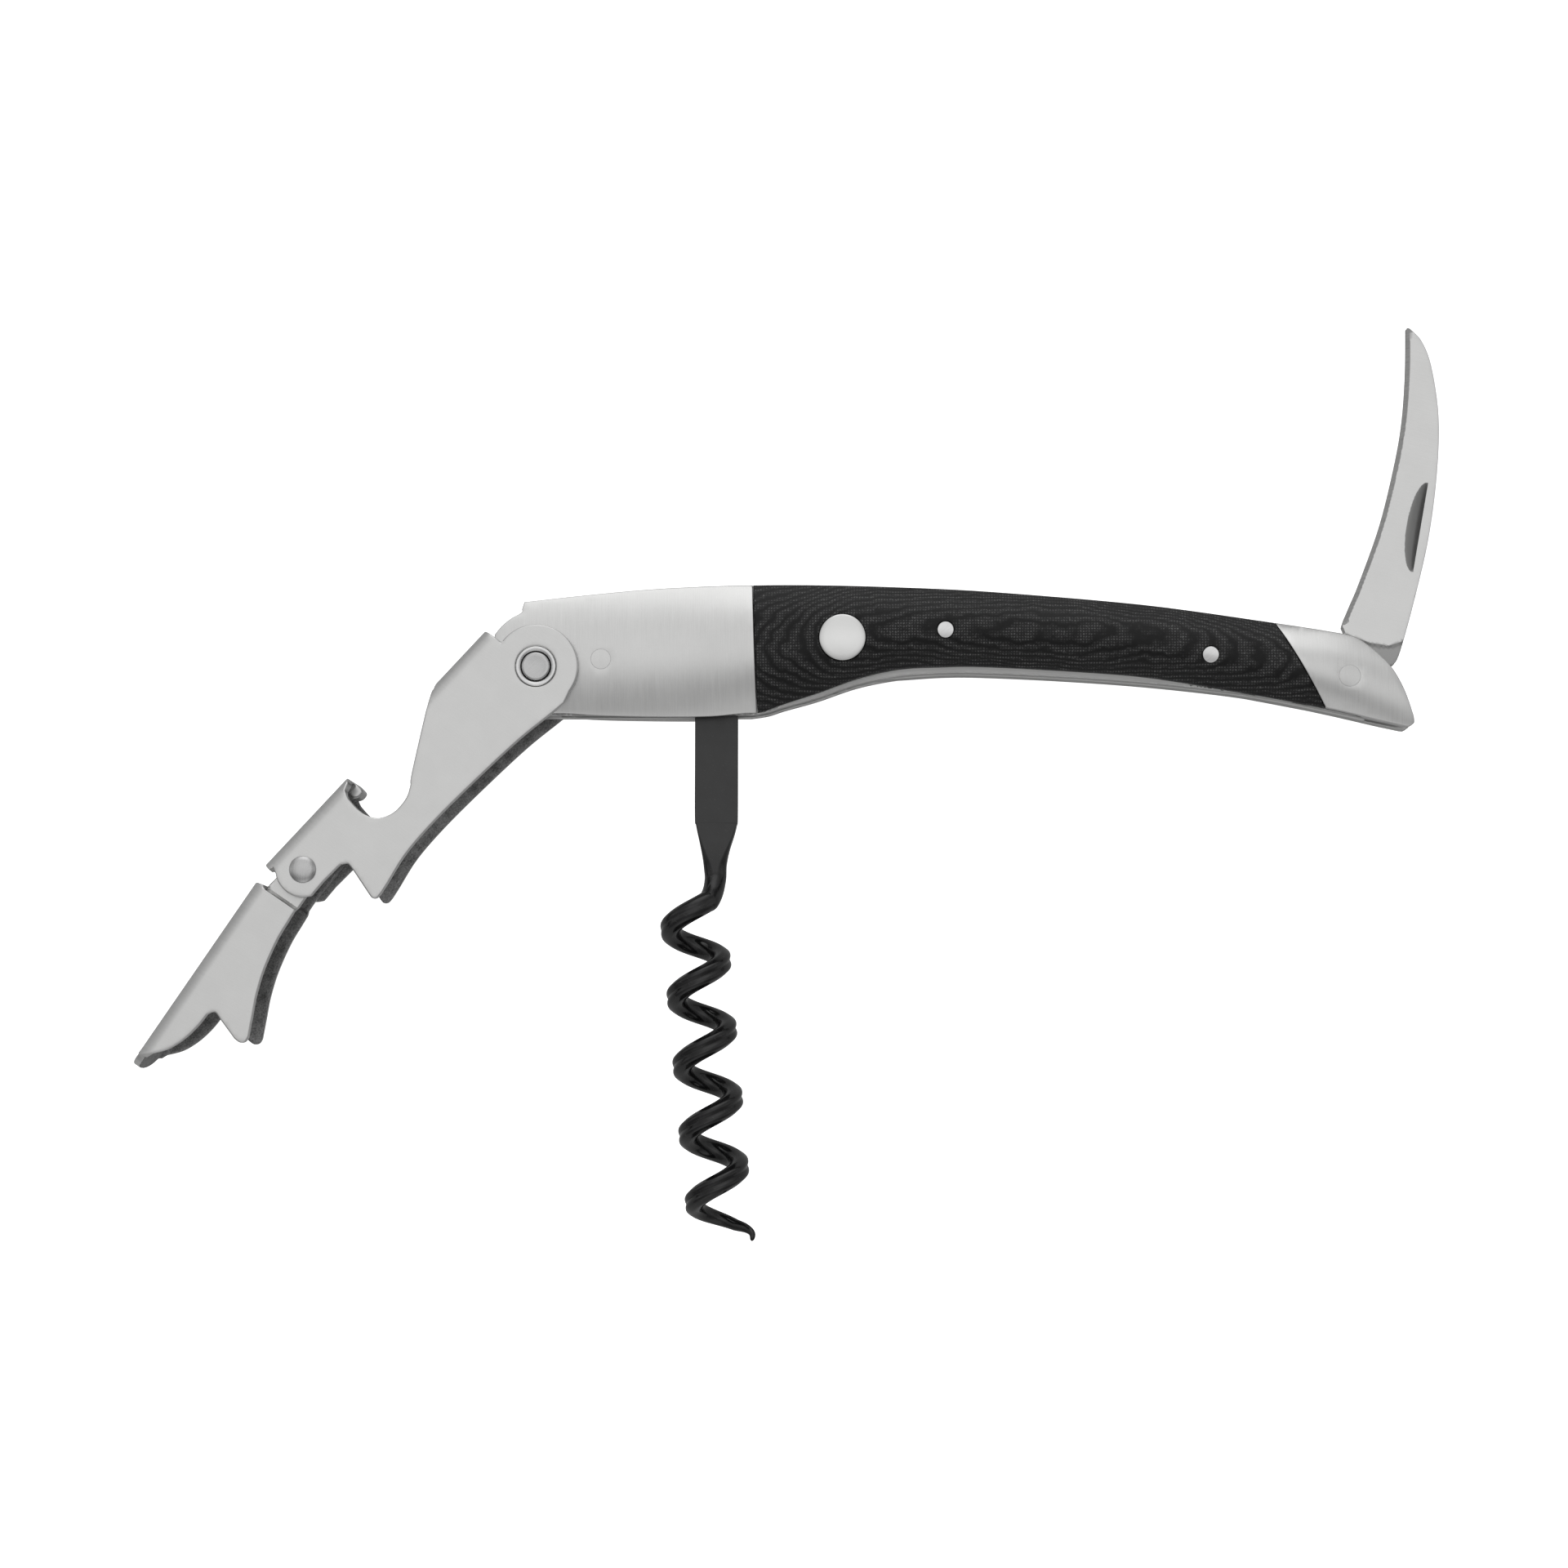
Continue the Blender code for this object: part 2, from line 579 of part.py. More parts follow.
def worm(axis):
    piece = add("worm", worm_sweep(), axis, ("coated_steel", COATED), 40)
    width = SHANK_HALF_WIDTH
    outline = arc((0, 0), width, 90, 270, 10) + [(15.5, -width), (15.5, width)]
    shank = cutter("add_worm_shank", prism(outline, -SHANK_HALF, SHANK_HALF), axis)
    combine(piece, shank, "UNION")
    drill(piece, "cut_worm_pin", (0, 0), WORM_PIN_R + HOLE_GAP, axis)


# ---------------------------------------------------------------- foil blade

def blade_outline():
    """Side view of the curved blade, +X from its pivot to its point, cutting edge towards +Y."""
    spine = smooth([(1.9, -6.2), (3.7, -7.1), (11.4, -9.25), (19.0, -11.0), (27.3, -12.1),
                    (34.7, -12.35), (41.3, -11.45), (44.7, -10.15), (46.6, -8.4)], 2)
    edge = smooth([(46.3, -8.1), (40.4, -8.0), (34.0, -7.5), (28.1, -6.45), (20.3, -4.5),
                   (12.9, -1.85), (9.8, -0.55), (7.7, 0.35)], 2)
    heel = [(6.9, 0.5), (6.2, 0.2)]
    tang = arc((0, 0), 3.55, 66, 292, 12)
    return spine + edge + heel + tang


def foil_blade(axis):
    piece = add("foil_blade", prism(blade_outline(), -BLADE_HALF, BLADE_HALF), axis,
                ("blade_steel", BRIGHT))
    drill(piece, "cut_blade_pin", (0, 0), BLADE_PIN_R + HOLE_GAP, axis)


# ---------------------------------------------------------------- assembly

def settle(handle):
    """Move the whole tool so that the middle of its box's underside is the world's origin."""
    bpy.context.view_layer.update()
    graph = bpy.context.evaluated_depsgraph_get()
    corners = []
    for thing in bpy.data.objects:
        if thing.type == "MESH" and not thing.hide_render:
            shaped = thing.evaluated_get(graph)
            corners += [shaped.matrix_world @ v.co for v in shaped.data.vertices]
    low = [min(c[i] for c in corners) for i in range(3)]
    high = [max(c[i] for c in corners) for i in range(3)]
    handle.location = (-(low[0] + high[0]) / 2, -(low[1] + high[1]) / 2, -low[2])


def build():
    clear_scene()
    handle = frame("handle_frame", (0, 0))
    pivot = frame("lever_pivot_axis", (0, 0), 0, handle)
    lever = frame("lever_axis", (0, 0), LEVER_ANGLE, pivot)
    step = frame("second_stage_axis", SECOND_PIVOT, SECOND_ANGLE, lever)
    worm_axis = frame("worm_axis", WORM_PIVOT, -90, handle)
    blade_axis = frame("blade_axis", BLADE_PIVOT, 90, handle)
    liners(handle)
    centre_layer(handle)
    covers(handle)
    pins(handle)
    lever_pins(pivot, lever)
    first_stage(lever)
    second_stage(step)
    worm(worm_axis)
    foil_blade(blade_axis)
    settle(handle)


build()
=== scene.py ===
"""Looks of a folding waiter's corkscrew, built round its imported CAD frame.

Shapes are worked out in millimetres, each in the frame of the body it belongs to.  The handle's frame
starts on the lever's pivot, with +X along the handle, +Y towards its top edge and +Z up.
"""
import math

import bpy
import numpy as np
from mathutils import Matrix, Vector
from mathutils.geometry import delaunay_2d_cdt


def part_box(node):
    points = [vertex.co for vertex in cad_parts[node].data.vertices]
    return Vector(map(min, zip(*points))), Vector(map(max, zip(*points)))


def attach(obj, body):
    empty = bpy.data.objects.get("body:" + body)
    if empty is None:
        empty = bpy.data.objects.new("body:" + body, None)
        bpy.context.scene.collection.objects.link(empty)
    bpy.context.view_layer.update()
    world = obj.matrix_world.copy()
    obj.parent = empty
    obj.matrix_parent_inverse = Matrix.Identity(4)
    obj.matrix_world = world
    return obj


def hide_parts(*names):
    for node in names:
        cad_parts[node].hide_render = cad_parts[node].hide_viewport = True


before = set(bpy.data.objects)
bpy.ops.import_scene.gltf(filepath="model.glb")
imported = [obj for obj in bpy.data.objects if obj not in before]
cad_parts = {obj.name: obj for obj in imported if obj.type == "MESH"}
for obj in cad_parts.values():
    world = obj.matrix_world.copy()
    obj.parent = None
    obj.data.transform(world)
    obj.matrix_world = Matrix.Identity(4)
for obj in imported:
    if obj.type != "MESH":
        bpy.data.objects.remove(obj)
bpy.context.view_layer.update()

MM = 0.001

# layers of the handle, as distances from its middle plane
CENTRE_HALF = 1.4
BLADE_HALF = 1.15
SHANK_HALF = 1.3
LINER_IN = 1.5
LINER_OUT = 2.7
COVER_IN = 2.8
COVER_EDGE = 3.3
SCALE_ROUND = 0.2
BOLSTER_ROUND = 0.14

# points on the handle
WORM_PIVOT = (23.4, -3.0)
BLADE_PIVOT = (106.1, -1.25)
SPRING_RIVET = (8.4, 1.1)
SCALE_PINS = ((53.5, 4.75), (88.0, 1.45))
MEDALLION = (40.05, 3.8)
FRONT_SEAM = ((28.25, 11.3), (28.9, -7.5))
REAR_SEAM = ((96.1, 6.6), (103.6, -6.2))
SEAM_GAP = 0.04

# pins
LEVER_PIN_R = 1.85
BUSH_IN_R = 1.97
BUSH_OUT_R = 2.62
RIVET_R = 1.3
BLADE_PIN_R = 1.4
WORM_PIN_R = 1.1
SCALE_PIN_R = 1.05
MEDALLION_R = 3.03
MEDALLION_DOME = 0.22
PLAY = 0.05              # round a pin in its hole
SNUG = 0.012             # round a pin that is peened flush

# lever channel
WALL_OUT = 6.35
SHEET = 1.2
WALL_IN = WALL_OUT - SHEET
FOLD_R = 1.8
EAR_R = 5.5
WEB = -8.25
LEVER_ANGLE = 227.0
SECOND_PIVOT = (40.15, -4.05)
SECOND_ANGLE = 8.7
SECOND_EAR_R = 3.6
SECOND_WEB = -4.35
STEP_RIVET_R = 1.3
STEP_HEAD_R = 1.75
JOGGLE = 1.4
BUSH_GAP = 0.04
RIVET_GAP = 0.06
TOOTH_HALF = 2.4

# worm
WIRE_R = 1.4
HELIX_R = 3.25
PITCH = 9.03
HELIX_TILT = 5.1
SHANK_HALF_WIDTH = 2.8


# ---------------------------------------------------------------- frames of the bodies

def turn(angle):
    """A turn about +Z, in degrees."""
    return Matrix.Rotation(math.radians(angle), 4, "Z")


def shift(place):
    """A move by a place in millimetres."""
    return Matrix.Translation(Vector((place[0], place[1], 0.0)) * MM)


pin_low, pin_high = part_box("lever_pivot_pin")
HANDLE = Matrix.Translation((pin_low + pin_high) / 2)
LEVER = HANDLE @ turn(LEVER_ANGLE)
STEP = LEVER @ shift(SECOND_PIVOT) @ turn(SECOND_ANGLE)
WORM = HANDLE @ shift(WORM_PIVOT) @ turn(-90)
BLADE = HANDLE @ shift(BLADE_PIVOT) @ turn(90)


# ---------------------------------------------------------------- outlines

def arc(centre, radius, start, end, steps):
    """Points along an arc, angles in degrees, both ends included."""
    points = []
    for i in range(steps + 1):
        angle = math.radians(start + (end - start) * i / steps)
        points.append((centre[0] + radius * math.cos(angle), centre[1] + radius * math.sin(angle)))
    return points


def circle(centre, radius, steps=48):
    """Points round a circle, none of them twice."""
    return arc(centre, radius, 0, 360, steps)[:-1]


def smooth(points, steps=6):
    """A curve through the points, with the given number of steps between two of them."""
    ends = [points[0], *points, points[-1]]
    curve = []
    for a, b, c, d in zip(ends, ends[1:], ends[2:], ends[3:]):
        for i in range(steps):
            t = i / steps
            curve.append(tuple(
                0.5 * (2 * q + (r - p) * t + (2 * p - 5 * q + 4 * r - s) * t * t
                       + (3 * q - p - 3 * r + s) * t ** 3)
                for p, q, r, s in zip(a, b, c, d)))
    return curve + [points[-1]]


def rounded(outline, radius, steps=4):
    """The outline with its corners cut to arcs, where its sides are long enough."""
    made = []
    count = len(outline)
    for i in range(count):
        here = Vector(outline[i])
        back = Vector(outline[i - 1]) - here
        ahead = Vector(outline[(i + 1) % count]) - here
        reach = min(radius, back.length * 0.45, ahead.length * 0.45)
        start = here + back.normalized() * reach
        end = here + ahead.normalized() * reach
        for k in range(steps + 1):
            t = k / steps
            made.append(tuple(start * (1 - t) ** 2 + here * (2 * t * (1 - t)) + end * t * t))
    return made


def clipped(outline, seam, keep_right):
    """The part of an outline on one side of a straight seam."""
    (x0, y0), (x1, y1) = seam
    way = 1 if keep_right else -1

    def side(point):
        return way * ((x1 - x0) * (point[1] - y0) - (y1 - y0) * (point[0] - x0))

    kept = []
    for here, after in zip(outline, outline[1:] + outline[:1]):
        a, b = side(here), side(after)
        if a >= 0:
            kept.append(here)
        if (a >= 0) != (b >= 0):
            share = a / (a - b)
            kept.append(tuple(p + (q - p) * share for p, q in zip(here, after)))
    return kept


def shifted(seam, amount):
    """The seam moved along the handle."""
    return tuple((x + amount, y) for x, y in seam)


TOP_EDGE = [(-1.75, 8.75), (4.7, 9.5), (13.2, 10.35), (20.7, 10.8), (28.2, 11.0), (36.7, 11.0),
            (47.4, 10.7), (59.6, 10.1), (79.5, 8.35), (96.6, 5.9), (105.5, 4.46)]
REAR_END = [(105.5, 4.46), (107.9, 3.5), (111.2, 0.55), (113.15, -2.7), (114.5, -6.4)]
REAR_CORNER = [(114.5, -6.4), (114.55, -7.3), (113.9, -7.75)]
LINER_BELLY = [(27.9, -6.1), (30.2, -5.75), (32.4, -5.05), (36.7, -3.85), (42.0, -2.05),
               (47.4, -1.0), (52.9, -0.6), (58.3, -0.6), (69.0, -1.1), (79.9, -1.9),
               (90.7, -3.1), (97.2, -4.2), (103.2, -5.45), (113.9, -7.75)]
COVER_BELLY = [(1.0, -5.95), (3.6, -5.9), (9.0, -6.2), (17.5, -6.35), (22.9, -6.3), (27.1, -5.9),
               (29.2, -5.75), (32.5, -4.6), (36.8, -3.2), (42.1, -1.3), (47.4, -0.1), (52.8, 0.2),
               (58.1, 0.25), (68.8, -0.3), (79.5, -1.15), (90.1, -2.85), (100.8, -4.85),
               (105.2, -5.75), (109.5, -6.8), (113.6, -7.7)]
NOSE_R = 6.4


def nose():
    """The round front end, from the stop step over the pivot and back under it."""
    crescent = [(-2.05, 7.75), (-2.1, 7.3), (-3.4, 6.55), (-4.65, 5.5), (-5.55, 4.35)]
    return smooth(crescent, 3) + arc((0, 0), NOSE_R, 152, 256, 40)


def handle_top():
    """The top edge from the stop step back, the rear end and its lower corner."""
    return smooth(TOP_EDGE) + smooth(REAR_END)[1:] + smooth(REAR_CORNER)[1:]


def liner_outline():
    """Side view of a liner."""
    return nose() + [(1.0, -6.1)] + smooth(LINER_BELLY) + list(reversed(handle_top()))[1:]


def cover_outline():
    """Side view of a side's covers before they are cut apart."""
    return nose() + smooth(COVER_BELLY) + list(reversed(handle_top()[:-1]))


# ---------------------------------------------------------------- the domed covers

def eased(stations, column):
    """A smooth table through straight stations, as places along the handle and values."""
    step = 0.25
    places = np.arange(-16.0, 124.0, step)
    values = np.interp(places, [s[0] for s in stations], [s[column] for s in stations])
    reach = int(9 / step)
    kernel = np.exp(-0.5 * (np.arange(-reach, reach + 1) * step / 3.0) ** 2)
    return places, np.convolve(np.pad(values, reach, "edge"), kernel / kernel.sum(), "valid")


THICKNESS = ((-16, 4.9), (17, 4.9), (23.5, 5.2), (29, 5.65), (37, 6.0), (48, 6.2), (80, 6.2),
             (95, 6.0), (105, 5.5), (112, 4.7), (118, 4.0), (124, 3.6))
MIDDLE = ((-16, 1.6, 8.6), (13, 2.0, 8.45), (28, 2.55, 8.45), (37, 3.9, 7.1), (48, 5.2, 5.5),
          (58, 5.15, 4.95), (80, 3.5, 4.7), (97, 0.75, 5.2), (106, -0.8, 5.8), (113, -4.0, 5.2),
          (124, -6.5, 4.6))
THICK_TABLE = eased(THICKNESS, 1)
MIDDLE_TABLE = eased(MIDDLE, 1)
HALF_TABLE = eased(MIDDLE, 2)


def dome(x, y):
    """Half thickness of the covers over points of the handle."""
    thick = np.interp(x, *THICK_TABLE)
    across = np.abs(y - np.interp(x, *MIDDLE_TABLE)) / np.interp(x, *HALF_TABLE)
    return np.maximum(COVER_IN + 0.15, COVER_EDGE + (thick - COVER_EDGE) * (1.0 - across ** 2.3))


# ---------------------------------------------------------------- meshes

def turned_way(loop, anticlockwise):
    """The loop without doubled points, going the asked way round."""
    kept = [p for p, q in zip(loop, loop[1:] + loop[:1]) if math.dist(p, q) > 1e-4]
    a = np.array(kept)
    b = np.roll(a, -1, 0)
    area = float(np.sum(a[:, 0] * b[:, 1] - b[:, 0] * a[:, 1]))
    return a if (area > 0) == anticlockwise else a[::-1]


def finer(loop, longest):
    """The loop with no side longer than asked."""
    points = []
    for a, b in zip(loop, np.roll(loop, -1, 0)):
        count = max(1, math.ceil(math.dist(a, b) / longest))
        points += [a + (b - a) * i / count for i in range(count)]
    return np.array(points)


def inset(loop, distance):
    """Each corner of the loop moved to its left, so that the sides move by the distance."""
    ahead = np.roll(loop, -1, 0) - loop
    ahead /= np.linalg.norm(ahead, axis=1)[:, None]
    behind = np.roll(ahead, 1, 0)
    way = ahead + behind
    way /= np.maximum(1e-6, np.linalg.norm(way, axis=1))[:, None]
    stretch = distance / np.maximum(0.4, np.sum(way * ahead, axis=1))
    return loop + np.stack((-way[:, 1], way[:, 0]), 1) * stretch[:, None]


def along_line(line, step):
    """Places at even steps along an open line."""
    gaps = np.concatenate(((0.0,), np.cumsum(np.linalg.norm(np.diff(line, axis=0), axis=1))))
    spots = np.arange(0.0, gaps[-1], step)
    return np.stack([np.interp(spots, gaps, line[:, i]) for i in (0, 1)], 1)


def edge_distance(loops, points):
    """Distance of each point from the nearest side of the loops."""
    best = np.full(len(points), 1e9)
    for loop in loops:
        for a, b in zip(loop, np.roll(loop, -1, 0)):
            side = b - a
            share = np.clip(((points - a) @ side) / max(1e-12, side @ side), 0, 1)
            best = np.minimum(best, np.linalg.norm(points - a - share[:, None] * side, axis=1))
    return best


def inside(loops, points):
    """Which points lie within the outer loop and outside the holes."""
    within = np.zeros(len(points), bool)
    x, y = points[:, 0], points[:, 1]
    for loop in loops:
        for a, b in zip(loop, np.roll(loop, -1, 0)):
            if a[1] != b[1]:
                crosses = (a[1] > y) != (b[1] > y)
                within ^= crosses & (x < (b[0] - a[0]) * (y - a[1]) / (b[1] - a[1]) + a[0])
    return within


ROUND_STEPS = (22.5, 45.0, 67.5, 90.0)
TIGHT = 0.008            # rounding of a rim that meets a flush pin


def flat_mesh(outer, holes, tight, spacing, edge, extra):
    """Points, how far their rims have fallen, and triangles of a flat shape with rings along its rims."""
    fine = min(spacing, 0.5)
    loops = [finer(turned_way(outer, True), fine)]
    loops += [finer(turned_way(hole, False), fine) for hole in (*holes, *tight)]
    sizes = [edge] * (1 + len(holes)) + [TIGHT] * len(tight)
    rings = []
    for loop, size in zip(loops, sizes):
        for angle in ROUND_STEPS:
            gap = size * (1 - math.cos(math.radians(angle)))
            ring = inset(loop, gap)
            rings.append(ring[edge_distance(loops, ring) > 0.95 * gap])
    low, high = loops[0].min(0), loops[0].max(0)
    rows = np.arange(low[1] + spacing / 3, high[1], spacing * 0.866)
    grid = [(x + (spacing / 2 if i % 2 else 0), y) for i, y in enumerate(rows)
            for x in np.arange(low[0], high[0], spacing)]
    grid = np.array(grid)
    grid = grid[inside(loops, grid)]
    grid = grid[edge_distance(loops, grid) > edge + 0.4 * spacing]
    if extra is not None:
        extra = extra[inside(loops, extra)]
        extra = extra[edge_distance(loops, extra) > edge * 1.1]
        gaps = np.min(np.linalg.norm(grid[:, None] - extra[None], axis=2), axis=1)
        grid = np.concatenate((grid[gaps > 0.3 * spacing], extra))
    points = np.concatenate(loops + rings + [grid])
    sides = []
    first = 0
    for loop in loops:
        count = len(loop)
        sides += [(first + i, first + (i + 1) % count) for i in range(count)]
        first += count
    made = delaunay_2d_cdt([Vector(p) for p in points.tolist()], sides, [], 0, 1e-6)
    flat = np.array([tuple(v) for v in made[0]])
    triangles = np.array([f for f in made[2] if len(f) == 3])
    triangles = triangles[inside(loops, flat[triangles].mean(1))]
    drop = np.max([rim_drop(edge_distance([loop], flat), size) for loop, size in zip(loops, sizes)], axis=0)
    return flat, drop, triangles


def rim_drop(distance, edge):
    """How far a rounded rim has fallen at a distance from the edge."""
    left = np.clip(edge - distance, 0, edge)
    return edge - np.sqrt(np.maximum(0.0, edge * edge - left * left))


def slab(outer, holes=(), spacing=1.0, edge=0.12, top=1.0, bottom=0.0, round_bottom=True, tight=(),
         extra=None):
    """Points and faces of a plate, and which faces are its bottom.

    Top and bottom are heights, or functions of x and y.
    """
    flat, drop, triangles = flat_mesh(outer, holes, tight, spacing, edge, extra)
    x, y = flat[:, 0], flat[:, 1]
    high = top(x, y) if callable(top) else np.full(len(flat), float(top))
    low = bottom(x, y) if callable(bottom) else np.full(len(flat), float(bottom))
    points = np.concatenate((np.stack((x, y, high - drop), 1),
                             np.stack((x, y, low + (drop if round_bottom else 0.0)), 1)))
    count = len(flat)
    faces = [tuple(t) for t in triangles.tolist()]
    upper = len(faces)
    faces += [(a + count, c + count, b + count) for a, b, c in faces]
    lower = len(faces)
    used = {}
    for a, b, c in faces[:upper]:
        for side in ((a, b), (b, c), (c, a)):
            used[side] = True
    for a, b in used:
        if (b, a) not in used:
            faces.append((a, a + count, b + count, b))
    return points, faces, (upper, lower)


def on_side(shape, side):
    """A near shape as it is, or its mirror image for the far side of the handle."""
    points, faces = shape[0], shape[1]
    if side > 0:
        return points, faces
    mirrored = points * np.array((1.0, 1.0, -1.0))
    return mirrored, [tuple(reversed(f)) for f in faces]


def lathe(place, profile, sides=64):
    """A turned piece from (radius, height) points that start and end on its axis."""
    points, faces, rings = [], [], []
    for radius, height in profile:
        if radius < 1e-6:
            rings.append([len(points)])
            points.append((place[0], place[1], height))
        else:
            rings.append(list(range(len(points), len(points) + sides)))
            points += [(x, y, height) for x, y in circle(place, radius, sides)]
    for a, b in zip(rings, rings[1:]):
        for i in range(sides):
            j = (i + 1) % sides
            if len(a) == 1:
                faces.append((a[0], b[j], b[i]))
            elif len(b) == 1:
                faces.append((a[i], a[j], b[0]))
            else:
                faces.append((a[i], a[j], b[j], b[i]))
    return np.array(points, float), faces


def add(name, shape, spot, body, looks, stands_for=(), sharp=40, inner=None):
    """Make a piece from points and faces in millimetres, in its body's frame."""
    points, faces = shape[0], shape[1]
    mesh = bpy.data.meshes.new(name)
    mesh.from_pydata([tuple(p) for p in (points * MM).tolist()], [], faces)
    mesh.validate()
    piece = bpy.data.objects.new(name, mesh)
    bpy.context.scene.collection.objects.link(piece)
    piece.matrix_world = spot
    for look in looks if isinstance(looks, (list, tuple)) else (looks,):
        mesh.materials.append(look)
    if inner:
        first, last = inner
        for polygon in mesh.polygons[first:last]:
            polygon.material_index = 1
    mesh.shade_smooth()
    mesh.set_sharp_from_angle(angle=math.radians(sharp))
    weighted = piece.modifiers.new("even_normals", "WEIGHTED_NORMAL")
    weighted.keep_sharp = True
    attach(piece, body)
    if stands_for:
        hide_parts(*stands_for)
    return piece


# ---------------------------------------------------------------- materials

class Wiring:
    """A node tree being wired up."""

    def __init__(self, tree):
        self.nodes = tree.nodes
        self.links = tree.links

    def maths(self, operation, *values):
        """A result worked out from sockets and plain numbers."""
        node = self.nodes.new("ShaderNodeMath")
        node.operation = operation
        for value, socket in zip(values, node.inputs):
            if isinstance(value, (int, float)):
                socket.default_value = value
            else:
                self.links.new(value, socket)
        return node.outputs["Value"]

    def weighted(self, first, share, second, other_share):
        """The sum of two values, each times its share."""
        return self.maths("ADD", self.maths("MULTIPLY", first, share),
                          self.maths("MULTIPLY", second, other_share))

    def split(self, vector):
        """The X, Y and Z of a vector."""
        node = self.nodes.new("ShaderNodeSeparateXYZ")
        self.links.new(vector, node.inputs["Vector"])
        return node.outputs

    def ramp(self, value, stops):
        """Greys eased through stops of place and level."""
        node = self.nodes.new("ShaderNodeValToRGB")
        node.color_ramp.interpolation = "EASE"
        elements = node.color_ramp.elements
        while len(elements) < len(stops):
            elements.new(0.5)
        for element, (where, level) in zip(elements, stops):
            element.position = where
            element.color = (level, level, level, 1.0)
        self.links.new(value, node.inputs["Fac"])
        return node.outputs["Color"]


class Look(Wiring):
    """A material being wired up, with its detail placed in the piece's own metres."""

    def __init__(self, name, colour, roughness, metallic):
        self.made = bpy.data.materials.new(name)
        self.made.use_nodes = True
        super().__init__(self.made.node_tree)
        self.shader = self.nodes["Principled BSDF"]
        self.shader.inputs["Base Color"].default_value = (*colour, 1.0)
        self.shader.inputs["Roughness"].default_value = roughness
        self.shader.inputs["Metallic"].default_value = metallic
        self.place = self.nodes.new("ShaderNodeTexCoord").outputs["Object"]
        self.height = None

    def mapped(self, scale, angle=0.0):
        """Places turned by an angle and multiplied by a scale along each axis."""
        node = self.nodes.new("ShaderNodeMapping")
        node.vector_type = "TEXTURE"
        node.inputs["Rotation"].default_value = (0.0, 0.0, math.radians(angle))
        node.inputs["Scale"].default_value = tuple(1.0 / s for s in scale)
        self.links.new(self.place, node.inputs["Vector"])
        return node.outputs["Vector"]

    def noise(self, scale, detail=3.0, angle=0.0, rough=0.6):
        """Noise with a number of cells in each metre along each axis."""
        node = self.nodes.new("ShaderNodeTexNoise")
        node.inputs["Scale"].default_value = 1.0
        node.inputs["Detail"].default_value = detail
        node.inputs["Roughness"].default_value = rough
        self.links.new(self.mapped(scale, angle), node.inputs["Vector"])
        return node.outputs["Fac"]

    def ranged(self, value, low, high, to_low, to_high):
        """A value carried over from one range to another, and kept within it."""
        node = self.nodes.new("ShaderNodeMapRange")
        node.inputs["From Min"].default_value = low
        node.inputs["From Max"].default_value = high
        node.inputs["To Min"].default_value = to_low
        node.inputs["To Max"].default_value = to_high
        self.links.new(value, node.inputs["Value"])
        return node.outputs["Result"]

    def mixed(self, factor, first, second):
        """A colour between two, which are sockets or plain colours."""
        node = self.nodes.new("ShaderNodeMix")
        node.data_type = "RGBA"
        self.links.new(factor, node.inputs["Factor"])
        for value, name in ((first, "A"), (second, "B")):
            socket = [s for s in node.inputs if s.name == name and s.type == "RGBA"][0]
            if isinstance(value, tuple):
                socket.default_value = (*value, 1.0)
            else:
                self.links.new(value, socket)
        return [s for s in node.outputs if s.type == "RGBA"][0]

    def colour(self, value):
        self.links.new(value, self.shader.inputs["Base Color"])

    def roughness(self, value):
        self.links.new(value, self.shader.inputs["Roughness"])

    def bump(self, value, strength, depth):
        """Relief of a depth in millimetres, on top of the relief already there."""
        node = self.nodes.new("ShaderNodeBump")
        node.inputs["Strength"].default_value = strength
        node.inputs["Distance"].default_value = depth * MM
        self.links.new(value, node.inputs["Height"])
        if self.height:
            self.links.new(self.height, node.inputs["Normal"])
        self.height = node.outputs["Normal"]
        self.links.new(self.height, self.shader.inputs["Normal"])


def steel(name, tone, roughness, angle, lines=1.0, mottle=1.0):
    """Stainless steel with fine brushed lines at an angle from the piece's own +X."""
    look = Look(name, (tone, tone, tone * 0.99), roughness, 1.0)
    fine = look.noise((300.0, 9000.0, 300.0), 3.0, angle, 0.7)
    wide = look.noise((140.0, 3200.0, 140.0), 2.0, angle, 0.6)
    cloud = look.noise((260.0, 260.0, 260.0), 3.0, 0.0, 0.6)
    speck = look.noise((6000.0, 6000.0, 6000.0), 1.0)
    streak = look.weighted(fine, 0.6, wide, 0.4)
    shade = look.maths("ADD", look.ranged(streak, 0.3, 0.7, -0.05 * lines, 0.05 * lines),
                       look.ranged(cloud, 0.3, 0.7, -0.025 * mottle, 0.025 * mottle))
    shade = look.maths("ADD", shade, look.ranged(speck, 0.3, 0.7, -0.012, 0.012))
    factor = look.maths("ADD", shade, 0.5)
    dark, light = tone * 0.62, min(1.0, tone * 1.38)
    look.colour(look.mixed(factor, (dark, dark, dark * 0.99), (light, light, light * 0.99)))
    look.roughness(look.ranged(streak, 0.25, 0.75, roughness - 0.05 * lines, roughness + 0.06 * lines))
    look.bump(fine, 0.16 * lines, 0.02)
    look.bump(cloud, 0.05 * mottle, 0.15)
    return look.made


def inner_steel_painted_shade():
    """The inside of the pressed channels: left grainy and dull, and painted darker than the outer steel as
    shade inside the channel.
    """
    look = Look("steel_inner_painted_shade", (0.3, 0.3, 0.3), 0.5, 1.0)
    grain = look.noise((5200.0, 5200.0, 5200.0), 2.0, 0.0, 0.7)
    cloud = look.noise((900.0, 900.0, 900.0), 3.0, 0.0, 0.6)
    both = look.ranged(look.weighted(grain, 0.6, cloud, 0.4), 0.38, 0.64, 0.0, 1.0)
    # painted shade: the inside is coloured much darker than the lever's outer steel, standing in for shade
    # in the channel; the mottle is real grain
    look.colour(look.mixed(both, (0.16, 0.16, 0.16), (0.44, 0.44, 0.44)))
    look.roughness(look.ranged(cloud, 0.3, 0.7, 0.42, 0.62))
    look.bump(grain, 0.35, 0.05)
    return look.made


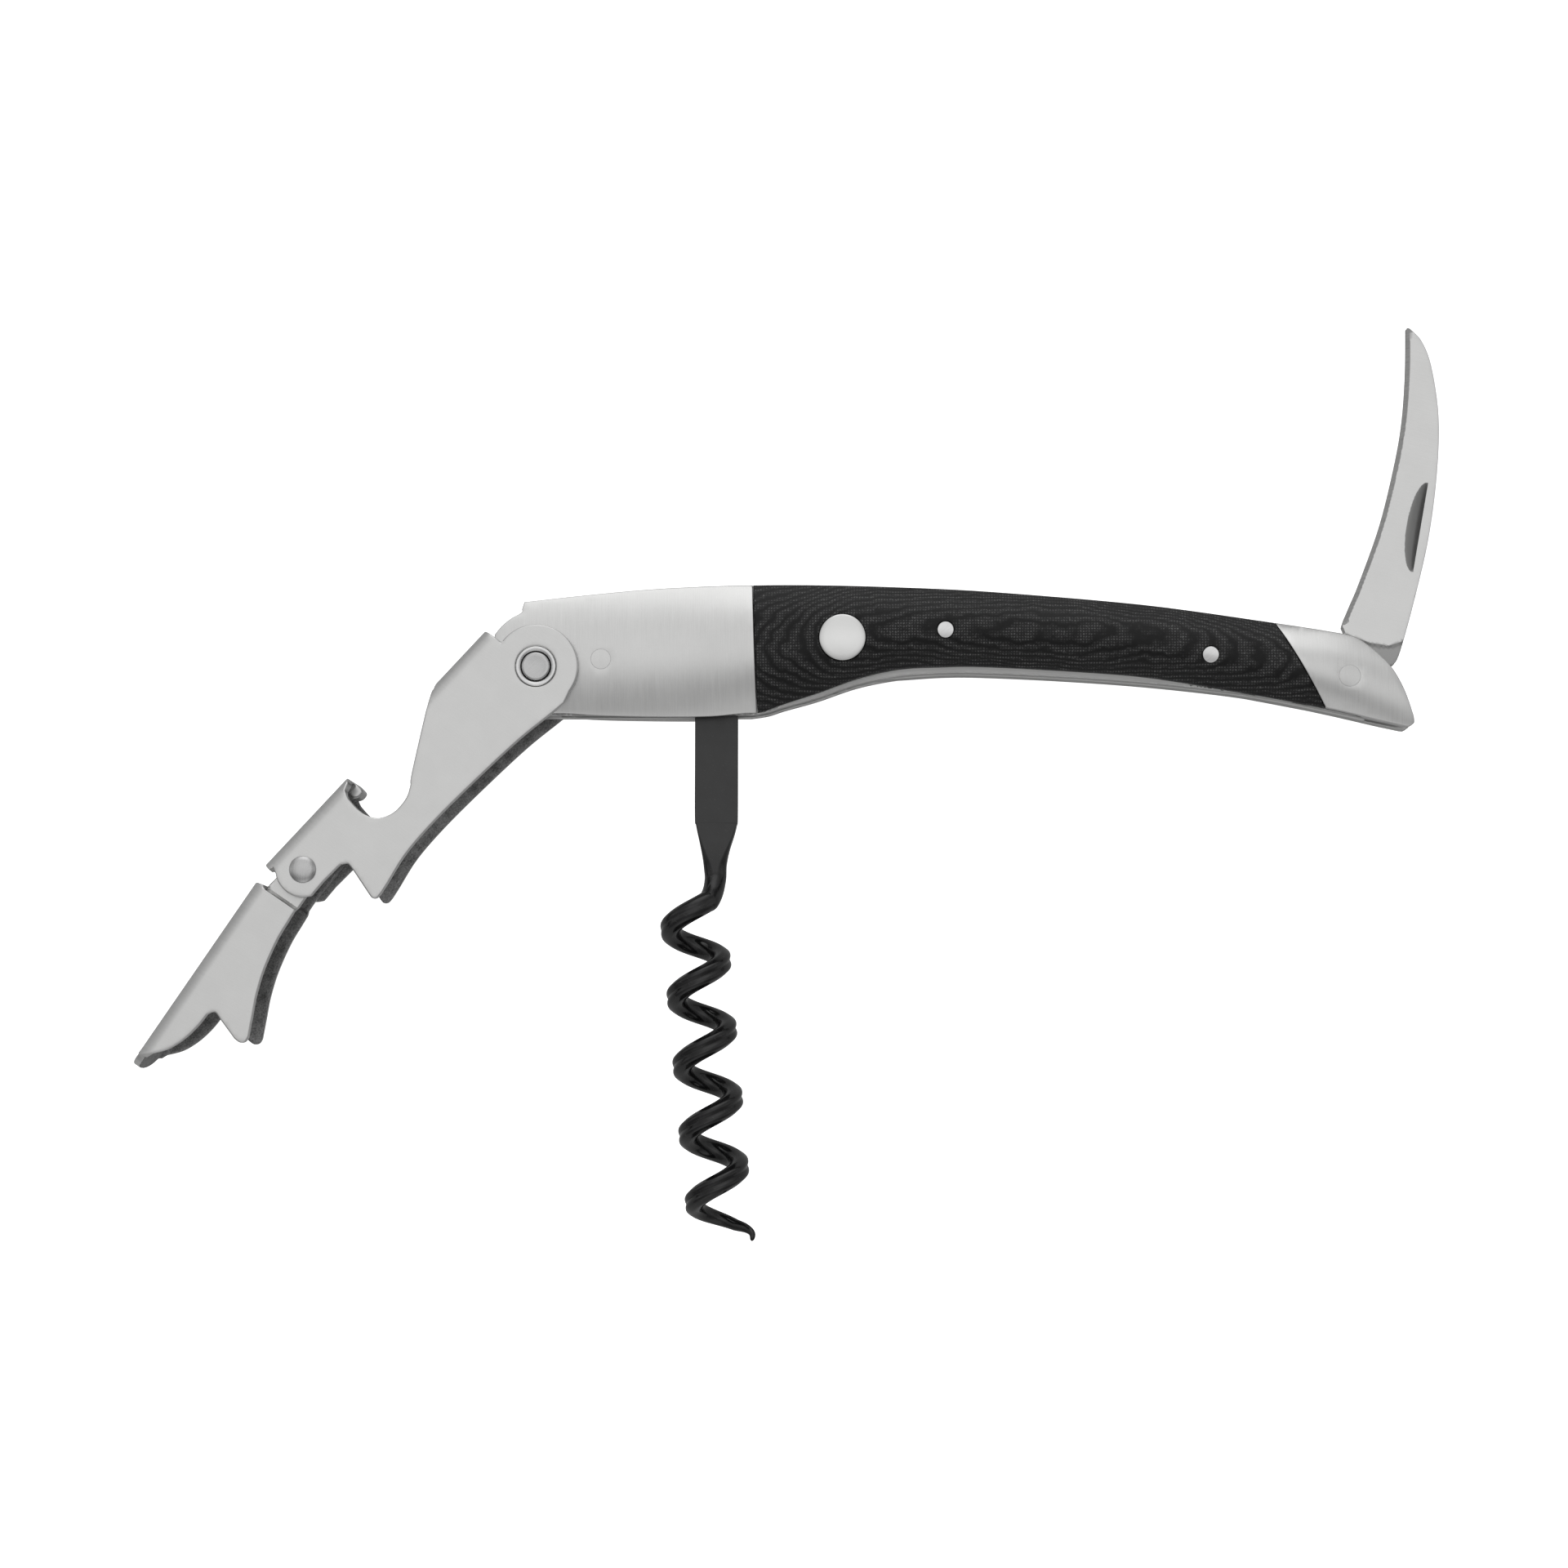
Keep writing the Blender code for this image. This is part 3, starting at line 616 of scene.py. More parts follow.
def polished(name, tone, roughness):
    """Turned and rubbed steel with soft clouds and a few scratches."""
    look = Look(name, (tone, tone, tone), roughness, 1.0)
    cloud = look.noise((700.0, 700.0, 700.0), 3.0, 0.0, 0.6)
    scratch = look.noise((900.0, 7000.0, 900.0), 2.0, 35.0, 0.6)
    both = look.weighted(cloud, 0.5, scratch, 0.5)
    dark, light = tone * 0.86, min(1.0, tone * 1.1)
    look.colour(look.mixed(look.ranged(both, 0.3, 0.7, 0.0, 1.0), (dark,) * 3, (light,) * 3))
    look.roughness(look.ranged(both, 0.3, 0.7, roughness - 0.04, roughness + 0.06))
    look.bump(cloud, 0.08, 0.12)
    return look.made


BAR_END = 19.5           # along the worm, where the flat bar, duller and painted paler as a sheen for the light its flat face mirrors, starts to give way
WIRE_START = 22.5        # and where the glossier wire has taken over


def coated():
    """Black non-stick coating: a dull flat bar, painted paler as a sheen for the light its flat face
    mirrors, then glossier wire with small pale nicks.
    """
    look = Look("worm_coating", (0.01, 0.01, 0.0105), 0.2, 0.0)
    cloud = look.noise((500.0, 500.0, 500.0), 4.0, 0.0, 0.6)
    grain = look.noise((7000.0, 7000.0, 7000.0), 1.0)
    scratch = look.noise((1500.0, 9000.0, 1500.0), 2.0, 60.0, 0.7)
    nick = look.ranged(scratch, 0.66, 0.72, 0.0, 1.0)
    patch = look.ranged(cloud, 0.35, 0.65, 0.0, 1.0)
    wire = look.mixed(patch, (0.005, 0.005, 0.0052), (0.012, 0.012, 0.0124))
    # painted sheen: the bar's paler colour stands in for the overhead light its flat face mirrors; its extra
    # roughness is a real duller finish
    bar = look.ranged(look.split(look.place)["X"], BAR_END * MM, WIRE_START * MM, 1.0, 0.0)
    base = look.mixed(bar, wire, (0.03, 0.03, 0.0303))
    look.colour(look.mixed(look.maths("MULTIPLY", nick, 0.6), base, (0.1, 0.1, 0.1)))
    gloss = look.ranged(cloud, 0.3, 0.7, 0.11, 0.2)
    look.roughness(look.maths("ADD", gloss, look.maths("MULTIPLY", bar, 0.16)))
    look.bump(grain, 0.12, 0.02)
    look.bump(cloud, 0.12, 0.1)
    look.shader.inputs["Specular IOR Level"].default_value = 0.5
    return look.made


LAYER = 0.5              # thickness of a dark and a pale layer together
LAYER_WANDER = 5.5       # layers by which they rise and sink over the handle
LAYER_FRAY = 0.7         # layers by which their cut edges are ragged
RING_CENTRE = 67.0       # along the handle, where the contour rings close
RING_BEND = 0.003        # how fast the layers fall away from there
THREAD_PITCH = 0.36
PAINTED_SHEEN_SLOPE = 0.066       # the painted sheen, a paler colour standing in for the light the scale's top catches, follows the handle's falling top edge
PAINTED_SHEEN_FROM = 8.0
PAINTED_SHEEN_TO = 13.5


def laminate_layers(look, place):
    """Pressed layers, from 0 in the dark ones to 1 in the pale ones.  The dome cuts them into rings."""
    depth = look.maths("ABSOLUTE", place["Z"])
    along = look.maths("SUBTRACT", place["X"], RING_CENTRE * MM)
    bend = look.maths("MULTIPLY", look.maths("MULTIPLY", along, along), RING_BEND / (LAYER * MM * MM))
    warp = look.noise((80.0, 130.0, 80.0), 3.0, 0.0, 0.5)
    fray = look.noise((900.0, 900.0, 900.0), 2.0, 0.0, 0.5)
    layer = look.maths("SUBTRACT", look.maths("MULTIPLY", depth, 1.0 / (LAYER * MM)), bend)
    layer = look.maths("ADD", layer, look.maths("MULTIPLY", warp, LAYER_WANDER))
    layer = look.maths("ADD", layer, look.maths("MULTIPLY", fray, LAYER_FRAY))
    wave = look.maths("SINE", look.maths("MULTIPLY", layer, 2 * math.pi))
    return look.ranged(wave, -1.0, 1.0, 0.0, 1.0)


def laminate_threads(look, place, fibre):
    """Where the cloth's threads cross, and where single fibres catch the light."""
    turns = math.pi / (THREAD_PITCH * MM)
    waves = [look.maths("SINE", look.maths("MULTIPLY", place[axis], turns)) for axis in ("X", "Y")]
    cross = look.maths("MULTIPLY", *[look.maths("ABSOLUTE", wave) for wave in waves])
    uneven = look.maths("MULTIPLY", cross, look.ranged(fibre, 0.35, 0.65, 0.5, 1.3))
    dots = look.ranged(uneven, 0.4, 0.9, 0.0, 1.0)
    specks = look.ranged(fibre, 0.58, 0.74, 0.0, 1.0)
    return look.weighted(dots, 0.8, specks, 0.6)


def micarta():
    """Black laminate of pressed cloth, with its threads showing in the pale layers, and a painted sheen:
    paler colour towards the top edge, standing in for the light caught there.
    """
    look = Look("micarta", (0.02, 0.02, 0.021), 0.45, 0.0)
    place = look.split(look.place)
    band = laminate_layers(look, place)
    fibre = look.noise((4200.0, 4200.0, 4200.0), 2.0, 0.0, 0.7)
    patch = look.noise((160.0, 240.0, 160.0), 2.0)
    open_cloth = look.ranged(look.maths("ADD", band, patch), 0.55, 1.5, 0.0, 1.0)
    shown = look.maths("MULTIPLY", laminate_threads(look, place, fibre), open_cloth)
    # painted sheen: the colour goes from the darker belly to the paler back towards the top edge, standing
    # in for light the top catches, not a change in the laminate
    belly = look.mixed(band, (0.0055, 0.0055, 0.0057), (0.019, 0.019, 0.0194))
    back = look.mixed(band, (0.014, 0.014, 0.0143), (0.034, 0.034, 0.0345))
    height = look.maths("ADD", place["Y"], look.maths("MULTIPLY", place["X"], PAINTED_SHEEN_SLOPE))
    base = look.mixed(look.ranged(height, PAINTED_SHEEN_FROM * MM, PAINTED_SHEEN_TO * MM, 0.0, 1.0), belly, back)
    look.colour(look.mixed(look.maths("MULTIPLY", shown, 0.95), base, (0.15, 0.15, 0.15)))
    look.roughness(look.ranged(band, 0.0, 1.0, 0.4, 0.52))
    look.bump(fibre, 0.14, 0.03)
    look.bump(band, 0.1, 0.02)
    look.shader.inputs["Specular IOR Level"].default_value = 0.24
    return look.made


BOLSTER = steel("steel_bolster", 0.72, 0.33, 90, 1.8)
LEVER_STEEL = steel("steel_lever", 0.74, 0.35, 98, 1.1)
LINER = steel("steel_liner", 0.55, 0.34, 0, 0.9)
BLADE_STEEL = steel("steel_blade", 0.75, 0.33, 75, 0.9)
EDGE_STEEL = steel("steel_blade_edge", 0.62, 0.4, 90, 5.0)
INNER_PAINTED_SHADE = inner_steel_painted_shade()
NICK_STEEL = steel("steel_nick", 0.3, 0.4, 10, 1.6)
TANG_STEEL = steel("steel_tang", 0.42, 0.45, 60, 1.2)
PIN = polished("steel_pin", 0.58, 0.28)
PIN_BRIGHT = polished("steel_pin_bright", 0.82, 0.3)
DISC = steel("steel_medallion", 0.92, 0.24, 35, 0.7)
COATED = coated()
MICARTA = micarta()
SIDES = (("near", 1), ("far", -1))


# ---------------------------------------------------------------- handle

def cover_shapes():
    """Outlines of the covers of one side, cut apart at the two seams."""
    whole = cover_outline()
    behind_front = clipped(whole, shifted(FRONT_SEAM, SEAM_GAP), True)
    return {
        "front_bolster": clipped(whole, shifted(FRONT_SEAM, -SEAM_GAP), False),
        "scale": clipped(behind_front, shifted(REAR_SEAM, -SEAM_GAP), False),
        "rear_bolster": clipped(whole, shifted(REAR_SEAM, SEAM_GAP), True),
    }


def cover_holes(kind, side):
    """Holes of a cover with play round their pins, and holes with a pin peened flush in them."""
    if kind == "front_bolster":
        return [circle((0, 0), LEVER_PIN_R + PLAY)], [circle(SPRING_RIVET, RIVET_R + SNUG)]
    if kind == "rear_bolster":
        return [], [circle(BLADE_PIVOT, BLADE_PIN_R + SNUG)]
    holes = [circle(place, SCALE_PIN_R + PLAY) for place in SCALE_PINS]
    if side > 0:
        holes.append(circle(MEDALLION, MEDALLION_R + PLAY, 96))
    return holes, []


def handle_covers():
    """The bolsters and scales of both sides."""
    for side_name, side in SIDES:
        for kind, outline in cover_shapes().items():
            holes, tight = cover_holes(kind, side)
            edge = SCALE_ROUND if kind == "scale" else BOLSTER_ROUND
            shape = on_side(slab(outline, holes, 0.8, edge, dome, COVER_IN, False, tight), side)
            look, slot = (MICARTA, "micarta") if kind == "scale" else (BOLSTER, "brushed_steel")
            node = f"{side_name}_{kind}"
            add(f"look_{node}", shape, HANDLE, "handle", look, (node,))


LEDGE_WIDTH = 0.75
LEDGE_RISE = 0.16
LEDGE_START = 0.05
BELLY_CURVE = np.array(smooth(COVER_BELLY))


def belly_height(x):
    """Height of the covers' lower edge at places along the handle."""
    return np.interp(x, BELLY_CURVE[:, 0], BELLY_CURVE[:, 1])


def ledge_points():
    """Rows of points along the strip of liner that shows below the covers."""
    places = np.arange(2.0, 113.0, 0.6)
    heights = belly_height(places)
    return np.array([(x, y - drop) for drop in (0.03, 0.07, 0.25, 0.45, 0.65, 0.8)
                     for x, y in zip(places, heights)])


def ledge(x, y):
    """Outer face of a liner: its strip below the covers stands proud next to them."""
    below = np.clip(1 - (belly_height(x) - y - LEDGE_START) / LEDGE_WIDTH, 0, 1)
    shown = (x > 1.0) & (x < 113.6) & (y < belly_height(x) - LEDGE_START)
    return LINER_OUT + np.where(shown, LEDGE_RISE * below * below, 0.0)


def liners():
    """The two thin plates between the covers and the middle layer."""
    for side_name, side in SIDES:
        plate = slab(liner_outline(), (), 4.0, 0.12, ledge, LINER_IN, extra=ledge_points())
        node = f"{side_name}_liner"
        add(f"look_{node}", on_side(plate, side), HANDLE, "handle", LINER, (node,))


def middle_plate(node, outline):
    """A piece of the middle layer."""
    plate = slab(outline, (), 4.0, 0.1, CENTRE_HALF, -CENTRE_HALF)
    add(f"look_{node}", plate, HANDLE, "handle", LINER, (node,))


def back_spring():
    """The bar along the belly that holds worm and blade open or shut."""
    under = smooth([(3.4, 0.2), (30.0, 0.25), (36.0, -0.35), (42.5, -1.3), (47.4, -1.15), (52.9, -0.8),
                    (58.3, -0.8), (69.0, -1.3), (79.9, -2.1), (90.7, -3.3), (97.2, -4.4),
                    (103.2, -5.65), (108.4, -6.85)])
    over = smooth([(108.75, -5.7), (103.5, -4.75), (98.0, -3.0), (90.0, -0.7), (80.0, 1.1),
                   (68.0, 2.3), (58.0, 2.6), (40.0, 3.1), (20.0, 3.3), (3.4, 3.3)])
    middle_plate("back_spring", under + over)


def centre_spacer():
    """The filler between the liners at the front, above the spring."""
    front_low = [(2.9, -6.0), (2.9, 3.6)]
    inner = [(20.0, 3.6), (40.0, 3.4), (55.0, 3.0), (56.0, 5.2), (55.4, 10.0)]
    outline = nose()[2:] + front_low + inner + list(reversed(smooth(TOP_EDGE[:7])))
    middle_plate("centre_spacer", outline)


def flush_pin(place, radius, low, height, rim):
    """Half a pin whose face follows the dome, from its lower end up."""
    points, faces = lathe(place, ((0, low), (radius, low), (radius, height - rim),
                                  (radius - rim * 0.3, height - rim * 0.3), (radius - rim, height),
                                  (radius - rim - 0.03, height), (radius - rim - 0.08, height),
                                  (radius * 0.7, height), (radius * 0.35, height), (0, height)), 48)
    tilted = points.copy()
    top = points[:, 2] > height - 0.2
    lean = dome(points[:, 0], points[:, 1]) - dome(np.array(place[0]), np.array(place[1]))
    tilted[top, 2] += lean[top]
    return tilted, faces


def flush_pins():
    """The scale pins, and the two halves of the spring rivet and of the blade's pin."""
    for side_name, side in SIDES:
        spots = [(f"{side_name}_{where}_scale_pin", place, SCALE_PIN_R, LINER_IN, 0.06, PIN_BRIGHT)
                 for where, place in zip(("front", "rear"), SCALE_PINS)]
        spots += [("spring_rivet", SPRING_RIVET, RIVET_R, 0.0, TIGHT, BOLSTER),
                  ("blade_pivot_pin", BLADE_PIVOT, BLADE_PIN_R, 0.0, TIGHT, BOLSTER)]
        for node, place, radius, low, rim, look in spots:
            shape = on_side(flush_pin(place, radius, low, float(dome(*place)), rim), side)
            name = f"look_{node}" if node.startswith(side_name) else f"look_{side_name}_{node}"
            add(name, shape, HANDLE, "handle", look, (node,), 30)


def medallion():
    """A plain, slightly domed disc set into the near scale."""
    face = float(dome(*MEDALLION))
    edge = MEDALLION_R
    profile = [(0, face - 1.0), (edge, face - 1.0), (edge, face - 0.12), (edge - 0.03, face - 0.06),
               (edge - 0.1, face - 0.03)]
    profile += [(r, face + MEDALLION_DOME * (1 - (r / edge) ** 2) - 0.03)
                for r in (2.8, 2.3, 1.7, 1.1, 0.5, 0.0)]
    add("look_near_medallion", lathe(MEDALLION, profile, 96), HANDLE, "handle", DISC,
        ("near_medallion",), 35)


# ---------------------------------------------------------------- lever

def wall_s(v, web):
    """Distance round the channel's outside, from the middle of its web, to a height on its wall."""
    flat = WALL_OUT - FOLD_R
    if v <= web:
        return flat
    if v < web + FOLD_R:
        return flat + FOLD_R * math.acos(1 - (v - web) / FOLD_R)
    return flat + FOLD_R * math.pi / 2 + v - web - FOLD_R


def folded(blank, web, inward=None, curl=None):
    """Bend a flat blank of points, (along, round, depth), and faces into a channel open towards +Y.

    Inward moves the walls towards each other, and curl lifts the web, both along the channel.
    """
    points, faces = blank[0], blank[1]
    u, s, depth = points[:, 0], points[:, 1], -points[:, 2]
    flat = WALL_OUT - FOLD_R
    bend = FOLD_R * math.pi / 2
    r = np.abs(s)
    angle = np.clip((r - flat) / FOLD_R, 0, math.pi / 2)
    v = web + FOLD_R - (FOLD_R - depth) * np.cos(angle) + np.maximum(0, r - flat - bend)
    z = np.minimum(r, flat) + (FOLD_R - depth) * np.sin(angle)
    v = np.where(r <= flat, web + depth, v)
    z = np.where(r <= flat, r, z)
    if inward:
        z = z - inward(u, r - flat - bend)
    if curl:
        v = v + curl(u)
    z = z * np.sign(np.where(s == 0, 1, s))
    return np.stack((u, v, z), 1), [tuple(reversed(f)) for f in faces]


def both_sides(path, web):
    """A blank's rim from a side view's path: up one side and back down the other."""
    near = [(u, wall_s(v, web)) for u, v in path]
    return near + [(u, -s) for u, s in reversed(near)]


def first_stage_path():
    """Side view of the first step: ear, free edge, foot and second ear."""
    ear = arc((0, 0), EAR_R, 278, 97, 50)
    free_edge = smooth([(1.0, 6.0), (3.1, 5.75), (8.4, 5.0), (15.6, 4.5), (23.3, 4.2), (29.2, 4.4),
                        (33.8, 5.3), (35.4, 5.6)])
    foot = smooth([(35.4, 5.6), (36.2, 5.6), (36.65, 5.2), (36.6, 4.6)], 4)[1:]
    foot += smooth([(35.7, 0.75), (35.6, 0.1), (35.65, -0.4), (36.3, -0.9)], 4)
    second_ear = [(39.4, -1.0)] + arc(SECOND_PIVOT, SECOND_EAR_R, 62, -38, 24)
    web_end = [(42.75, -6.75), (42.6, -7.1), (43.2, -7.45), (43.2, WEB)]
    return [(1.15, WEB), (0.9, -6.8)] + ear + free_edge + foot + second_ear + web_end


def cap_notch():
    """Side view of the crown cap notch, which is cut through the web."""
    curve = smooth([(29.35, -6.0), (29.5, -4.2), (29.25, -2.7), (28.4, -1.35), (26.6, -0.5),
                    (24.3, -0.55), (22.6, -1.3), (21.1, -2.4), (12.4, -7.5), (11.4, -7.9)])
    return [(27.5, WEB), (27.9, -7.7), (28.85, -7.2)] + curve + [(10.3, WEB)]


def first_stage():
    """The lever's first step, a folded channel."""
    holes = [both_sides(cap_notch(), WEB)]
    pivot_s = wall_s(0.0, WEB)
    second_s = wall_s(SECOND_PIVOT[1], WEB)
    for side in (1, -1):
        holes.append(circle((0, side * pivot_s), BUSH_OUT_R + BUSH_GAP, 64))
        holes.append(circle((SECOND_PIVOT[0], side * second_s), STEP_RIVET_R + RIVET_GAP))
    blank = slab(both_sides(first_stage_path(), WEB), holes, 0.5, 0.2, 0.0, -SHEET)
    add("look_lever_first_stage", folded(blank, WEB), LEVER, "lever_first", (LEVER_STEEL, INNER_PAINTED_SHADE),
        ("lever_first_stage",), 50, blank[2])


def cap_tooth():
    """The lip in the notch that bites under a crown cap."""
    tooth = rounded([(27.3, -7.6), (29.2, -7.6), (29.1, -6.15), (28.4, -5.7), (27.4, -5.8)], 0.6)
    add("look_cap_tooth", slab(tooth, (), 0.4, 0.3, TOOTH_HALF, -TOOTH_HALF), LEVER, "lever_first",
        LEVER_STEEL, (), 60)


JOGGLE_END = 4.95        # along the second step, where its walls have stepped out to full width
JOGGLE_LENGTH = 0.4
JOGGLE_ROWS = (4.45, 4.55, 4.65, 4.75, 4.85, 4.95, 5.1)
CURL_FROM = 31.0
CURL_LENGTH = 2.74
CURL_RISE = 0.35


def joggle(u, above):
    """How far the walls of the second step are set in, so that they fit inside the first step's."""
    ramp = np.clip((JOGGLE_END - u) / JOGGLE_LENGTH, 0, 1)
    return JOGGLE * ramp * ramp * (3 - 2 * ramp) * np.clip(above / 0.5 + 1.0, 0, 1)


def web_curl(u):
    """How far the rounded end of the second step's web turns outwards."""
    over = np.clip((u - CURL_FROM) / CURL_LENGTH, 0, 1)
    return -CURL_RISE * over * over


def second_stage_path():
    """Side view of the second step: tongue, free edge, foot and lip, from its own pivot."""
    ear = arc((0, 0), 2.6, 300, 190, 24)
    tongue = [(4.45, -2.7), (3.6, -2.6)] + ear
    tongue += smooth([(-3.9, 1.2), (-3.9, 2.2), (-3.4, 2.6), (-0.5, 2.45)], 4)
    free_edge = smooth([(2.5, 2.2), (4.45, 2.2), (6.5, 2.3), (9.5, 2.5), (13.5, 3.25), (16.8, 4.3),
                        (19.3, 5.4), (22.0, 6.6)])
    foot = smooth([(22.0, 6.6), (22.7, 6.6), (23.2, 6.1), (23.2, 5.2)], 4)[1:]
    foot += smooth([(22.15, 2.2), (21.8, 1.3), (22.0, 0.8), (22.6, 0.45)], 4)
    lip = smooth([(22.6, 0.45), (24.6, 0.3), (26.9, -0.2), (29.1, -1.15), (30.65, -2.4)])[1:]
    return [(4.9, SECOND_WEB), (4.6, -3.5)] + tongue + free_edge + foot + lip + [(31.7, -3.5)]


def second_stage():
    """The lever's second step, a smaller channel with a joggled tongue and a rounded web end."""
    near = [(u, wall_s(v, SECOND_WEB)) for u, v in second_stage_path()]
    near += smooth([(32.1, 4.3), (32.95, 3.6), (33.5, 2.4), (33.74, 1.0), (33.74, 0.0)], 4)
    rim = near + [(u, -s) for u, s in reversed(near[:-1])]
    pivot_s = wall_s(0.0, SECOND_WEB)
    holes = [circle((0, side * pivot_s), STEP_RIVET_R + RIVET_GAP) for side in (1, -1)]
    rows = np.array([(u, s) for u in JOGGLE_ROWS for s in np.arange(-13.0, 13.1, 0.3)])
    blank = slab(rim, holes, 0.45, 0.2, 0.0, -SHEET, extra=rows)
    add("look_lever_second_stage", folded(blank, SECOND_WEB, joggle, web_curl), STEP, "lever_second",
        (LEVER_STEEL, INNER_PAINTED_SHADE), ("lever_second_stage",), 50, blank[2])


def symmetric(half):
    """A turned profile from its upper half, which starts in the middle plane."""
    return [(r, -z) for r, z in reversed(half)] + list(half[1:])


def lever_pivot_pin():
    """The lever's pin, with a rounded rim and a shallow dish in each end."""
    head = WALL_OUT + 0.15
    pin_r = LEVER_PIN_R
    half = ((pin_r, 0.0), (pin_r, head - 0.2), (pin_r - 0.04, head - 0.1), (pin_r - 0.12, head - 0.03),
            (pin_r - 0.24, head), (pin_r - 0.5, head - 0.02), (0.8, head - 0.07), (0, head - 0.08))
    add("look_lever_pivot_pin", lathe((0, 0), symmetric(half)), HANDLE, "handle", PIN,
        ("lever_pivot_pin",), 40)


def lever_bushes():
    """The rings in the lever's ears that turn on the pin."""
    low, face = WALL_IN + 0.02, WALL_OUT + 0.1
    ring = ((BUSH_IN_R, low), (BUSH_OUT_R, low), (BUSH_OUT_R, face - 0.1),
            (BUSH_OUT_R - 0.04, face - 0.03), (BUSH_OUT_R - 0.1, face), (BUSH_IN_R + 0.24, face - 0.05),
            (BUSH_IN_R + 0.1, face - 0.12), (BUSH_IN_R + 0.02, face - 0.26), (BUSH_IN_R, face - 0.36),
            (BUSH_IN_R, low))
    for side_name, side in SIDES:
        node = f"{side_name}_lever_bush"
        add(f"look_{node}", on_side(lathe((0, 0), ring), side), HANDLE, "lever_first", PIN_BRIGHT,
            (node,), 50)


def step_rivet():
    """The rivet that joins the two steps, with a low round head at each end."""
    inner, face = WALL_OUT + 0.04, WALL_OUT + 0.55
    half = ((STEP_RIVET_R, 0), (STEP_RIVET_R, inner), (STEP_HEAD_R - 0.05, inner),
            (STEP_HEAD_R, inner + 0.06), (STEP_HEAD_R, inner + 0.14), (STEP_HEAD_R - 0.08, inner + 0.25),
            (STEP_HEAD_R - 0.35, face - 0.12), (STEP_HEAD_R - 0.6, face - 0.05), (0.6, face - 0.01),
            (0, face))
    add("look_second_stage_rivet", lathe(SECOND_PIVOT, symmetric(half)), LEVER, "lever_first", PIN,
        ("second_stage_rivet",), 50)


# ---------------------------------------------------------------- worm

HELIX_START = (31.0, -2.85)
HELIX_FROM = 0.12        # turns at which the wire joins the helix and leaves it
HELIX_TO = 4.85
TAPER_TURNS = (4.35, 4.45, 4.6, 4.7, 4.85)
TAPER_RADII = (1.4, 1.35, 1.15, 1.0, 0.78)
POINT = (((70.25, 3.58, -2.2), 0.66), ((70.5, 4.15, -1.9), 0.56), ((70.8, 4.58, -1.6), 0.48),
         ((71.15, 4.8, -1.4), 0.42), ((71.5, 4.82, -1.3), 0.36), ((71.78, 4.77, -1.25), 0.28),
         ((71.96, 4.73, -1.25), 0.17), ((72.03, 4.71, -1.25), 0.05))


def helix_point(turns):
    """A point on the wire's centre line and the way from the helix's axis to it."""
    along = PITCH * (turns - 0.5)
    angle = 2 * math.pi * turns
    tilt = math.radians(HELIX_TILT)
    side = math.cos(angle)
    out = Vector((-side * math.sin(tilt), side * math.cos(tilt), math.sin(angle)))
    start_x, start_y = HELIX_START
    centre = Vector((start_x + along * math.cos(tilt), start_y + along * math.sin(tilt), 0.0))
    return centre + out * HELIX_R, out


def worm_route(per_turn):
    """Stations of the sweep: place, outward way, half width, half depth, corner radius, groove."""
    flat = Vector((0, 1, 0))
    bar = SHANK_HALF_WIDTH
    knots = [((0.0, 0.0, 0.0), bar, SHANK_HALF, 0.12), ((8.0, 0.0, 0.0), bar, SHANK_HALF, 0.12),
             ((16.2, 0.0, 0.0), bar, SHANK_HALF, 0.12), ((17.3, 0.0, 0.0), bar - 0.12, SHANK_HALF, 0.14),
             ((18.6, -0.04, 0.0), 2.4, 1.31, 0.25), ((20.0, -0.1, 0.0), 2.03, 1.33, 0.45),
             ((21.4, -0.13, 0.0), 1.72, 1.37, 0.8), ((22.8, -0.14, 0.0), 1.52, WIRE_R, 1.2),
             ((24.4, -0.1, 0.15), 1.43, WIRE_R, WIRE_R)]
    route = [(Vector(place), flat, width, depth, corner, 0.0) for place, width, depth, corner in knots]
    neck = route[-1][0]
    neck_end, neck_way = helix_point(HELIX_FROM)
    place = neck.lerp(neck_end, 0.5) + Vector((0.15, 0.12, -0.15))
    route.append((place, flat.lerp(neck_way, 0.5).normalized(), WIRE_R, WIRE_R, WIRE_R, 0.1))
    steps = int((HELIX_TO - HELIX_FROM) * per_turn)
    for i in range(steps + 1):
        turns = HELIX_FROM + (HELIX_TO - HELIX_FROM) * i / steps
        taper = np.interp(turns, TAPER_TURNS, TAPER_RADII)
        groove = min(1.0, 0.3 + i / per_turn) * min(1.0, (steps - i) / per_turn / 0.3)
        place, way = helix_point(turns)
        route.append((place, way, taper, taper, taper, groove))
    for place, radius in POINT:
        route.append((Vector(place), route[-1][1], radius, radius, radius, 0.0))
    return route


def smoothed_route(route, head, steps):
    """Curves through the first and last stations, so that the flat shank runs softly into the wire."""
    def curve(stations):
        rows = [(*s[0], *s[1], *s[2:]) for s in stations]
        return [(Vector(row[:3]), Vector(row[3:6]).normalized(), *row[6:]) for row in smooth(rows, steps)]

    tail = len(route) - len(POINT) - 1
    return curve(route[:head])[:-1] + route[head - 1:tail] + curve(route[tail:])


def bar_section(width, depth, corner, sides):
    """Points and directions round a bar with rounded corners."""
    corner = min(corner, width, depth)
    quarter = sides // 4
    made = []
    for k in range(sides):
        angle = (k % quarter) / (quarter - 1) * math.pi / 2 + k // quarter * math.pi / 2
        way_x = 1 if k // quarter in (0, 3) else -1
        way_y = 1 if k // quarter in (0, 1) else -1
        made.append((way_x * (width - corner) + corner * math.cos(angle),
                     way_y * (depth - corner) + corner * math.sin(angle), angle))
    return made


def flute(angle, groove):
    """Share of the wire's radius left by its outer groove and the shallow lines beside it."""
    off = (angle + math.pi) % (2 * math.pi) - math.pi
    cut = 0.27 * math.exp(-(off / 0.32) ** 2)
    lines = 0.018 * (1 - math.cos(9 * off)) * math.exp(-(off / 1.7) ** 2)
    return 1.0 - groove * (cut + lines)


